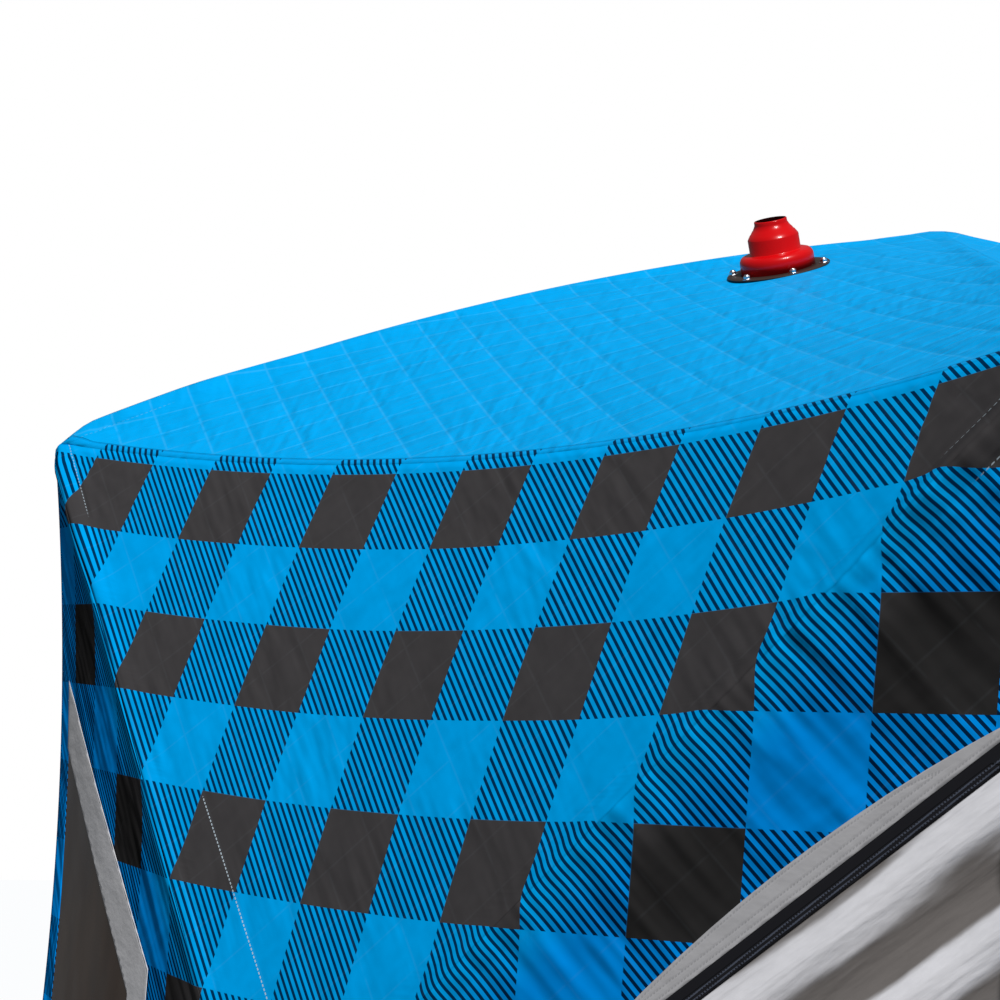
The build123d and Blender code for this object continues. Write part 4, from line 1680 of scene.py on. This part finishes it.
@dataclass
class ChimneyBoot:
    """The red boot round the chimney's hole, its clamping plate and its bolts."""

    workshop: Workshop
    share_left: float = 0.192
    share_right: float = 0.135
    plate_lift: float = 0.0011
    plate_thickness: float = 0.002
    plate_radius: float = 0.071
    hole_radius: float = 0.04
    mouth_radius: float = 0.0203
    plate_rim: float = 0.0006
    spin_steps: int = 96
    bolts: int = 6
    bolt_circle: float = 0.064
    first_bolt: float = 28.5
    bolt_head: float = 0.005
    profile: tuple[tuple[float, float], ...] = (
        (0.0510, 0.0000), (0.0510, 0.0145), (0.0503, 0.0178), (0.0486, 0.0208),
        (0.0462, 0.0229), (0.0432, 0.0240), (0.0368, 0.0243), (0.0355, 0.0247),
        (0.0350, 0.0257), (0.0350, 0.0448), (0.0344, 0.0460), (0.0309, 0.0514),
        (0.0300, 0.0518), (0.0272, 0.0562), (0.0263, 0.0566), (0.0230, 0.0626),
        (0.0225, 0.0640), (0.0225, 0.0678), (0.0219, 0.0688), (0.0210, 0.0690),
        (0.0200, 0.0688), (0.0195, 0.0680), (0.0195, 0.0640), (0.0315, 0.0440),
        (0.0315, 0.0265), (0.0405, 0.0212), (0.0460, 0.0140), (0.0460, 0.0000),
    )

    def stand(self, roof: ClothFace) -> Matrix:
        """Return the boot's place on the roof, its axis square to the cloth.

        Args:
            roof: The roof's front face.
        Returns:
            The place.
        """
        seat = roof.skin(self.share_right, self.share_left)
        axis = roof.normal(self.share_right, self.share_left)
        right = (Vector((1, 0, 0)) - axis * axis.x).normalized()
        forward = axis.cross(right)
        turned = Matrix((right, forward, axis)).transposed().to_4x4()
        return Matrix.Translation(seat) @ turned

    def spun(self, profile: Sequence[tuple[float, float]]) -> bmesh.types.BMesh:
        """Return a closed profile, spun about the upright axis.

        Args:
            profile: Its points, each a radius and a height.
        Returns:
            The mesh.
        """
        bm = bmesh.new()
        verts = [bm.verts.new((radius, 0, height)) for radius, height in profile]
        edges = [bm.edges.new(pair) for pair in zip(verts, verts[1:] + verts[:1])]
        bmesh.ops.spin(
            bm,
            geom=verts + edges,
            cent=(0, 0, 0),
            axis=(0, 0, 1),
            angle=math.tau,
            steps=self.spin_steps,
            use_merge=True,
        )
        bmesh.ops.remove_doubles(bm, verts=bm.verts, dist=1e-5)
        bmesh.ops.recalc_face_normals(bm, faces=bm.faces)
        return bm

    def bolt(self, bm: bmesh.types.BMesh, place: Matrix) -> None:
        """Add a domed hexagonal bolt head on a washer to a mesh.

        Args:
            bm: The mesh.
            place: Where the washer's underside lies.
        """
        head = self.bolt_head
        for sides, low_radius, high_radius, low, high, edge in (
            (24, head * 1.35, head * 1.35, 0.0, 0.0009, 0.0003),
            (6, head, head, 0.0009, 0.0050, 0.0005),
            (16, head * 0.86, head * 0.5, 0.0048, 0.0070, 0.0006),
        ):
            made = bmesh.ops.create_cone(
                bm,
                cap_ends=True,
                segments=sides,
                radius1=low_radius,
                radius2=high_radius,
                depth=high - low,
                matrix=place @ Matrix.Translation((0, 0, (low + high) / 2)),
            )
            corners = list({link for vert in made["verts"] for link in vert.link_edges})
            bmesh.ops.bevel(
                bm,
                geom=corners,
                offset=edge,
                offset_type="OFFSET",
                affect="EDGES",
                segments=2,
                profile=0.5,
                material=-1,
            )

    def hole(self, bm: bmesh.types.BMesh, roof: ClothFace) -> None:
        """Cut the hole for the chimney out of the roof's mesh.

        Args:
            bm: The mesh of the roof's front face.
            roof: That face.
        """
        stand = self.stand(roof).inverted()
        gone = [f for f in bm.faces if (stand @ f.calc_center_median()).xy.length < self.hole_radius]
        bmesh.ops.delete(bm, geom=gone, context="FACES")

    def build(self, roof: ClothFace) -> None:
        """Make the boot, its plate and its bolts on the roof.

        Args:
            roof: The roof's front face.
        """
        stand = self.stand(roof)
        top = self.plate_lift + self.plate_thickness
        red = Moulded("red_silicone", linear(206, 6, 12), 0.3, 0.02, 500.0, coat=0.15, gloss=0.2)
        # The boot's inside takes a near-black red, painted shade of its dark hollow.
        inside = Moulded("red_silicone_painted_shade_inside", linear(34, 3, 4), 0.6, 0.02, 500.0, gloss=0.0)
        bm = self.spun(self.profile)
        # Faces inside the boot and round its mouth take the painted shade.
        for face in bm.faces:
            middle = face.calc_center_median()
            inward = face.normal.x * middle.x + face.normal.y * middle.y < 0
            face.material_index = int(middle.xy.length < self.mouth_radius or inward)
        bmesh.ops.transform(bm, matrix=stand @ Matrix.Translation((0, 0, top)), verts=bm.verts)
        made = self.workshop.piece("chimney_boot_moulding", bm, red, "red_silicone", ["chimney_boot"])
        made.data.materials.append(self.workshop.finish(inside))
        rim, low = self.plate_rim, self.plate_lift
        ring = (
            (self.hole_radius, low),
            (self.plate_radius - rim, low),
            (self.plate_radius, low + rim),
            (self.plate_radius, top - rim),
            (self.plate_radius - rim, top),
            (self.hole_radius, top),
        )
        plate = Moulded("clamp_plate", linear(58, 48, 44), 0.45, 0.05, gloss=0.15)
        bm = self.spun(ring)
        bmesh.ops.transform(bm, matrix=stand, verts=bm.verts)
        self.workshop.piece("chimney_plate_ring", bm, plate, "clamp_plate", ["chimney_plate"])
        steel = Moulded("bolt_steel", linear(205, 205, 208), 0.25, 0.02, metallic=1.0)
        bm = bmesh.new()
        for index in range(self.bolts):
            angle = math.radians(self.first_bolt) + math.tau * index / self.bolts
            out = Matrix.Translation((self.bolt_circle, 0, top))
            self.bolt(bm, stand @ Matrix.Rotation(angle, 4, "Z") @ out)
        made = self.workshop.piece("chimney_bolt_heads", bm, steel, "bolt_steel", ["chimney_bolts"])
        for face in made.data.polygons:
            face.use_smooth = False


@dataclass
class Roof:
    """The roof: four faces of plain blue cloth that meet at the peak, and the peak's small cover."""

    sizes: HutSizes
    workshop: Workshop
    folds: float = 0.0034
    waves: float = 0.0026
    crown: float = 0.0095
    cover_radius: float = 0.021
    cover_height: float = 0.0035
    cover_steps: tuple[tuple[float, float], ...] = (
        (1.0, 0.7), (0.92, 0.12), (0.75, 0.1), (0.6, 0.05), (0.4, 0.03),
    )

    def face(self, side: Side) -> ClothFace:
        """Return the roof's face on a side, in that side's own frame.

        Args:
            side: The side.
        Returns:
            The face.
        """
        sizes = self.sizes
        a, b, hub = sizes.corner(1, True), sizes.corner(-1, True), sizes.roof_hub
        straight, bent = sizes.straight_rod_bow, sizes.roof_rod_bow
        squares = [Vector((p.x, p.y)) * SQUARES for p in (hub, a, b)]
        rise, width = sizes.roof_rise, sizes.top_width
        return ClothFace(
            sizes,
            hub,
            a,
            b,
            sizes.top_bow,
            Vector((0, -0.4, 0.9)).normalized(),
            Vector((rise, -rise, width)).normalized(),
            Vector((-rise, -rise, width)).normalized(),
            *squares,
            bend_a=straight if side is Side.FRONT else bent,
            bend_b=straight if side is Side.RIGHT else bent,
            folds=self.folds,
            waves=self.waves,
            crown=self.crown,
            seed=20.0 + side.value,
        )

    def level(self, place: Vector) -> float:
        """Return the height of the roof's cloth near the peak.

        Args:
            place: A point under it.
        Returns:
            The height.
        """
        sizes, far = self.sizes, max(abs(place.x), abs(place.y), 1e-6)
        share = far * 2 / sizes.top_width
        straight = max((place.x - place.y) / (2 * far), 0.0)
        bow = sizes.roof_rod_bow * (1 - straight) + sizes.straight_rod_bow * straight
        lift = crown_lift(self.crown, place.length)
        return sizes.roof_hub.z - share * sizes.roof_rise + 4 * share * (1 - share) * bow + lift

    def cover(self) -> None:
        """Make the small padded cover over the stud of the roof's hub, laid over the cloth."""
        bm = bmesh.new()
        bmesh.ops.create_circle(bm, cap_ends=True, segments=32, radius=self.cover_radius)
        for scale, rise in self.cover_steps:
            extruded = bmesh.ops.extrude_face_region(bm, geom=bm.faces[:1])
            lifted = [v for v in extruded["geom"] if isinstance(v, bmesh.types.BMVert)]
            bmesh.ops.translate(bm, vec=(0, 0, rise * self.cover_height), verts=lifted)
            bmesh.ops.scale(bm, vec=(scale, scale, 1), verts=lifted)
            bm.faces.ensure_lookup_table()
        bmesh.ops.recalc_face_normals(bm, faces=bm.faces)
        lay_flat(bm)
        for vert in bm.verts:
            below = Vector((vert.co.x, vert.co.y, 0))
            vert.co.z += self.level(below) - self.cover_steps[0][1] * self.cover_height
        plain = PlainCloth("peak_cloth", RoofCloth.blue, RoofCloth.thread)
        made = self.workshop.piece("peak_cover_cloth", bm, plain, "roof_cloth", ["peak_cover"])

    def build(self, boot: ChimneyBoot) -> None:
        """Make the roof's four faces and its cover.

        Args:
            boot: The chimney boot, whose hole is cut in the front face.
        """
        for side in Side:
            face = self.face(side)
            rows = self.sizes.fine_rows if side is Side.FRONT else self.sizes.coarse_rows
            bm = face.mesh(rows)
            if side is Side.FRONT:
                boot.hole(bm, face)
            face.lay_cloth(bm)
            node = f"roof_{side.label}"
            made = self.workshop.piece(
                f"{node}_cloth",
                bm,
                RoofCloth(),
                "roof_cloth",
                [node],
                side,
                self.sizes.panel_thickness,
                LINING,
            )
            width, length = (face.a - face.b).length, face.span_hub
            width * length / 2
        self.cover()


@dataclass
class SnowSkirt:
    """The flat strip of cloth that lies on the ground along each wall."""

    sizes: HutSizes
    workshop: Workshop
    width: float = 0.18
    gap: float = 0.0012
    thickness: float = 0.0015
    ripple_height: float = 0.005
    columns: int = 120
    rows: int = 14

    def build(self, side: Side) -> None:
        """Make the skirt of one side.

        Args:
            side: The side.
        """
        half = self.sizes.base_width / 2
        bm = bmesh.new()
        seams = bm.verts.layers.float_vector.new(SEAMS)
        bmesh.ops.create_grid(bm, x_segments=self.columns, y_segments=self.rows, size=0.5)
        for vert in bm.verts:
            out, across = 0.5 - vert.co.y, vert.co.x * 2
            bow = self.sizes.bottom_edge_bow * (1 - across**2) * (1 - out)
            reach = half + self.gap + self.width * out
            ripple = noise.noise(Vector((across * 9, out * 2, side.value))) * 0.5 + 0.5
            ripple *= smooth(out, 0.05, 0.5) * smooth(1 - out, 0, 0.15)
            lift = self.thickness + self.ripple_height * ripple
            seam = min((1 - abs(across)) * reach, self.width * out, self.width * (1 - out))
            vert[seams] = Vector((seam, 1.0, 1.0))
            vert.co = Vector((across * (reach - self.gap), -reach + bow, lift))
        turn_outwards(bm, UP)
        lay_flat(bm)
        node = f"{side.label}_skirt"
        made = self.workshop.piece(
            f"{node}_cloth", bm, SKIRT, "skirt_cloth", [node], side, self.thickness
        )
        long = 2 * (half + self.width)
        area = self.width * (2 * half + self.width) + self.sizes.bottom_edge_bow * half * 4 / 3
        self.width * 1.35


@dataclass
class PullLoops:
    """The strap on the cap of each wall's hub, round the cap's bar and hanging down."""

    sizes: HutSizes
    workshop: Workshop
    width: float = 0.025
    thickness: float = 0.002
    drop: float = 0.08
    bar_out: float = 0.0103
    bend: float = 0.0035
    swell: float = 0.004
    squares: float = 8.0

    def build(self) -> None:
        """Make the four straps as one piece."""
        whole = bmesh.new()
        seams = whole.verts.layers.float_vector.new(SEAMS)
        cloth = whole.loops.layers.uv.new(CLOTH_MAP)
        for side in Side:
            ring = bmesh.ops.create_circle(whole, segments=40, radius=self.bend + self.thickness)
            verts = ring["verts"]
            edges = list({edge for vert in verts for edge in vert.link_edges})
            for vert in verts:
                low = vert.co.y < 0
                swell = self.swell * smooth(-vert.co.y, -0.006, 0.006)
                sideways = vert.co.x + math.copysign(swell, vert.co.x)
                drop = vert.co.y - (self.drop if low else 0.0)
                vert.co = Vector((-self.width / 2, sideways, drop))
            extruded = bmesh.ops.extrude_edge_only(whole, edges=edges)
            moved = [v for v in extruded["geom"] if isinstance(v, bmesh.types.BMVert)]
            bmesh.ops.translate(whole, vec=(self.width, 0, 0), verts=moved)
            hub = self.sizes.wall_hub + Vector((0, -self.bar_out, 0))
            loop_verts = verts + moved
            bmesh.ops.translate(whole, vec=hub, verts=loop_verts)
            bmesh.ops.transform(whole, matrix=side.turn, verts=loop_verts)
        bmesh.ops.recalc_face_normals(whole, faces=whole.faces)
        for face in whole.faces:
            for loop in face.loops:
                loop.vert[seams] = Vector((1.0, 1.0, 1.0))
                round_hut = loop.vert.co.x + loop.vert.co.y
                loop[cloth].uv = Vector((round_hut, loop.vert.co.z)) * self.squares
        made = self.workshop.piece(
            "pull_loop_straps", whole, WEBBING, "webbing", ["pull_loops"], thickness=self.thickness
        )
        around = 2 * self.drop + math.tau * self.bend
        4 * around


def joined(parts: Sequence[bmesh.types.BMesh]) -> bmesh.types.BMesh:
    """Return several meshes as one.

    Args:
        parts: The meshes, which are freed.
    Returns:
        The joined mesh.
    """
    whole = bmesh.new()
    for part in parts:
        carrier = bpy.data.meshes.new("carrier")
        part.to_mesh(carrier)
        part.free()
        whole.from_mesh(carrier)
        bpy.data.meshes.remove(carrier)
    return whole


@dataclass
class Shelter:
    """The whole hut."""

    sizes: HutSizes = field(default_factory=HutSizes)
    workshop: Workshop = field(default_factory=Workshop)
    border_slanted: float = 0.55
    border_tip: float = 0.3

    def windows(
        self, borders: list[bmesh.types.BMesh], panes: list[bmesh.types.BMesh]
    ) -> None:
        """Make the four window borders as one piece and the four films as another.

        Args:
            borders: The borders' meshes.
            panes: The films' meshes.
        """
        made = self.workshop.piece(
            "window_border_strips",
            joined(borders),
            LIGHTENED_WINDOW_BORDER,
            "border_cloth",
            ["window_borders"],
            thickness=0.005,
        )
        made = self.workshop.piece(
            "window_film_panes", joined(panes), ClearFilm(), "clear_film", ["window_panes"]
        )

    def build(self) -> None:
        """Make and dress every piece."""
        door = Door(self.workshop)
        borders, panes = [], []
        for side in Side:
            wall = Wall(self.sizes, self.workshop, side)
            border, pane = wall.build(door if side is Side.FRONT else None)
            borders.append(border)
            panes.append(pane)
            SnowSkirt(self.sizes, self.workshop).build(side)
            LOG.info("%s wall and skirt", side.label)
            if side is Side.FRONT:
                door.build(wall.faces()["right"], wall.rows)
        self.windows(borders, panes)
        roof = Roof(self.sizes, self.workshop)
        boot = ChimneyBoot(self.workshop)
        roof.build(boot)
        boot.build(roof.face(Side.FRONT))
        PullLoops(self.sizes, self.workshop).build()
        self.dress_frame()

    def dress_frame(self) -> None:
        """Finish the rods, hubs, caps, corners, feet and the zipper's slider."""
        rod = Moulded("rod_fibre", linear(30, 30, 32), 0.35, 0.02, 1500.0)
        moulding = Moulded("hub_plastic", linear(28, 28, 30), 0.42, 0.06)
        corner = Moulded("corner_plastic", linear(26, 26, 28), 0.5, 0.08)
        slider = Moulded("slider_metal", linear(40, 40, 44), 0.35, 0.03)
        for side in Side:
            self.workshop.dress(f"{side.label}_rods", rod)
        self.workshop.dress("roof_rods", rod)
        for node in ("wall_hubs", "roof_hub", "hub_caps"):
            self.workshop.dress(node, moulding)
        for node in ("top_corners", "corner_feet"):
            self.workshop.dress(node, corner)
        self.workshop.dress("zipper_slider", slider)


@dataclass
class Studio:
    """A pale floor, soft light and a camera below the eaves that looks up at the roof."""

    eye: Vector = field(default_factory=lambda: Vector((2.0813, -2.6004, 1.2166)))
    yaw: float = 0.8601
    pitch: float = 0.1078
    roll: float = 0.0616
    lens: float = 83.40
    key_from: Vector = field(default_factory=lambda: Vector((0.62, -0.36, 0.70)))
    key_level: float = 3.7
    key_softness: float = math.radians(14)
    fill_level: float = 0.17
    fill: Colour = (0.86, 0.93, 1.0, 1.0)
    floor: Colour = (0.18, 0.18, 0.18, 1.0)
    seen_floor: Colour = (1.0, 1.0, 1.0, 1.0)
    floor_half: float = 14.0
    floor_drop: float = 0.0005

    def camera(self) -> None:
        """Make the camera and choose it."""
        forward = Vector((-math.sin(self.yaw), math.cos(self.yaw), 0))
        level = Vector((math.cos(self.yaw), math.sin(self.yaw), 0))
        look = forward * math.cos(self.pitch) + UP * math.sin(self.pitch)
        rise = UP * math.cos(self.pitch) - forward * math.sin(self.pitch)
        right = level * math.cos(self.roll) + rise * math.sin(self.roll)
        top = rise * math.cos(self.roll) - level * math.sin(self.roll)
        camera = bpy.data.objects.new("camera", bpy.data.cameras.new("camera"))
        camera.data.lens = self.lens
        camera.data.clip_end = 200.0
        turned = Matrix((right, top, -look)).transposed().to_4x4()
        camera.matrix_world = Matrix.Translation(self.eye) @ turned
        bpy.context.scene.collection.objects.link(camera)
        bpy.context.scene.camera = camera

    def light(self) -> None:
        """Make the key lamp and the pale surroundings that fill the shadows."""
        lamp = bpy.data.lights.new("key", "SUN")
        lamp.energy = self.key_level
        lamp.angle = self.key_softness
        key = bpy.data.objects.new("key", lamp)
        key.rotation_euler = self.key_from.normalized().to_track_quat("Z", "Y").to_euler()
        bpy.context.scene.collection.objects.link(key)
        world = bpy.data.worlds.new("surroundings")
        world.use_nodes = True
        tree = world.node_tree
        tree.nodes.clear()
        path = tree.nodes.new("ShaderNodeLightPath")
        seen = tree.nodes.new("ShaderNodeMath")
        seen.operation = "MAXIMUM"
        tree.links.new(path.outputs["Is Camera Ray"], seen.inputs[0])
        tree.links.new(path.outputs["Is Transmission Ray"], seen.inputs[1])
        plain, soft = tree.nodes.new("ShaderNodeBackground"), tree.nodes.new("ShaderNodeBackground")
        plain.inputs["Color"].default_value = (1, 1, 1, 1)
        plain.inputs["Strength"].default_value = 1.0
        soft.inputs["Color"].default_value = self.fill
        soft.inputs["Strength"].default_value = self.fill_level
        chosen = tree.nodes.new("ShaderNodeMixShader")
        tree.links.new(seen.outputs[0], chosen.inputs[0])
        tree.links.new(soft.outputs[0], chosen.inputs[1])
        tree.links.new(plain.outputs[0], chosen.inputs[2])
        output = tree.nodes.new("ShaderNodeOutputWorld")
        tree.links.new(chosen.outputs[0], output.inputs["Surface"])
        bpy.context.scene.world = world

    def ground(self) -> None:
        """Make the floor."""
        bm = bmesh.new()
        bmesh.ops.create_grid(bm, x_segments=1, y_segments=1, size=self.floor_half)
        mesh = bpy.data.meshes.new("floor")
        bm.to_mesh(mesh)
        bm.free()
        floor = bpy.data.objects.new("floor", mesh)
        floor.location.z = -self.floor_drop
        graph = NodeGraph("studio_floor")
        seen = graph.add("ShaderNodeLightPath").outputs["Is Camera Ray"]
        tone = graph.mix(Field(graph, seen), self.floor, self.seen_floor)
        surface = graph.surface(Base_Color=tone, Roughness=1.0, Specular_IOR_Level=0.0)
        mesh.materials.append(surface)
        bpy.context.scene.collection.objects.link(floor)

    def build(self) -> None:
        """Set up the floor, the light, the camera and the plain view."""
        self.ground()
        self.light()
        self.camera()
        bpy.context.scene.view_settings.view_transform = "Standard"


def write_sizes() -> None:
    """Bring the view layer up to date."""
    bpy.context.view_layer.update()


def main() -> None:
    """Build the hut and its studio."""
    logging.basicConfig(level=logging.INFO, format="%(name)s: %(message)s")
    Shelter().build()
    Studio().build()
    write_sizes()


if __name__ == "__main__":
    main()
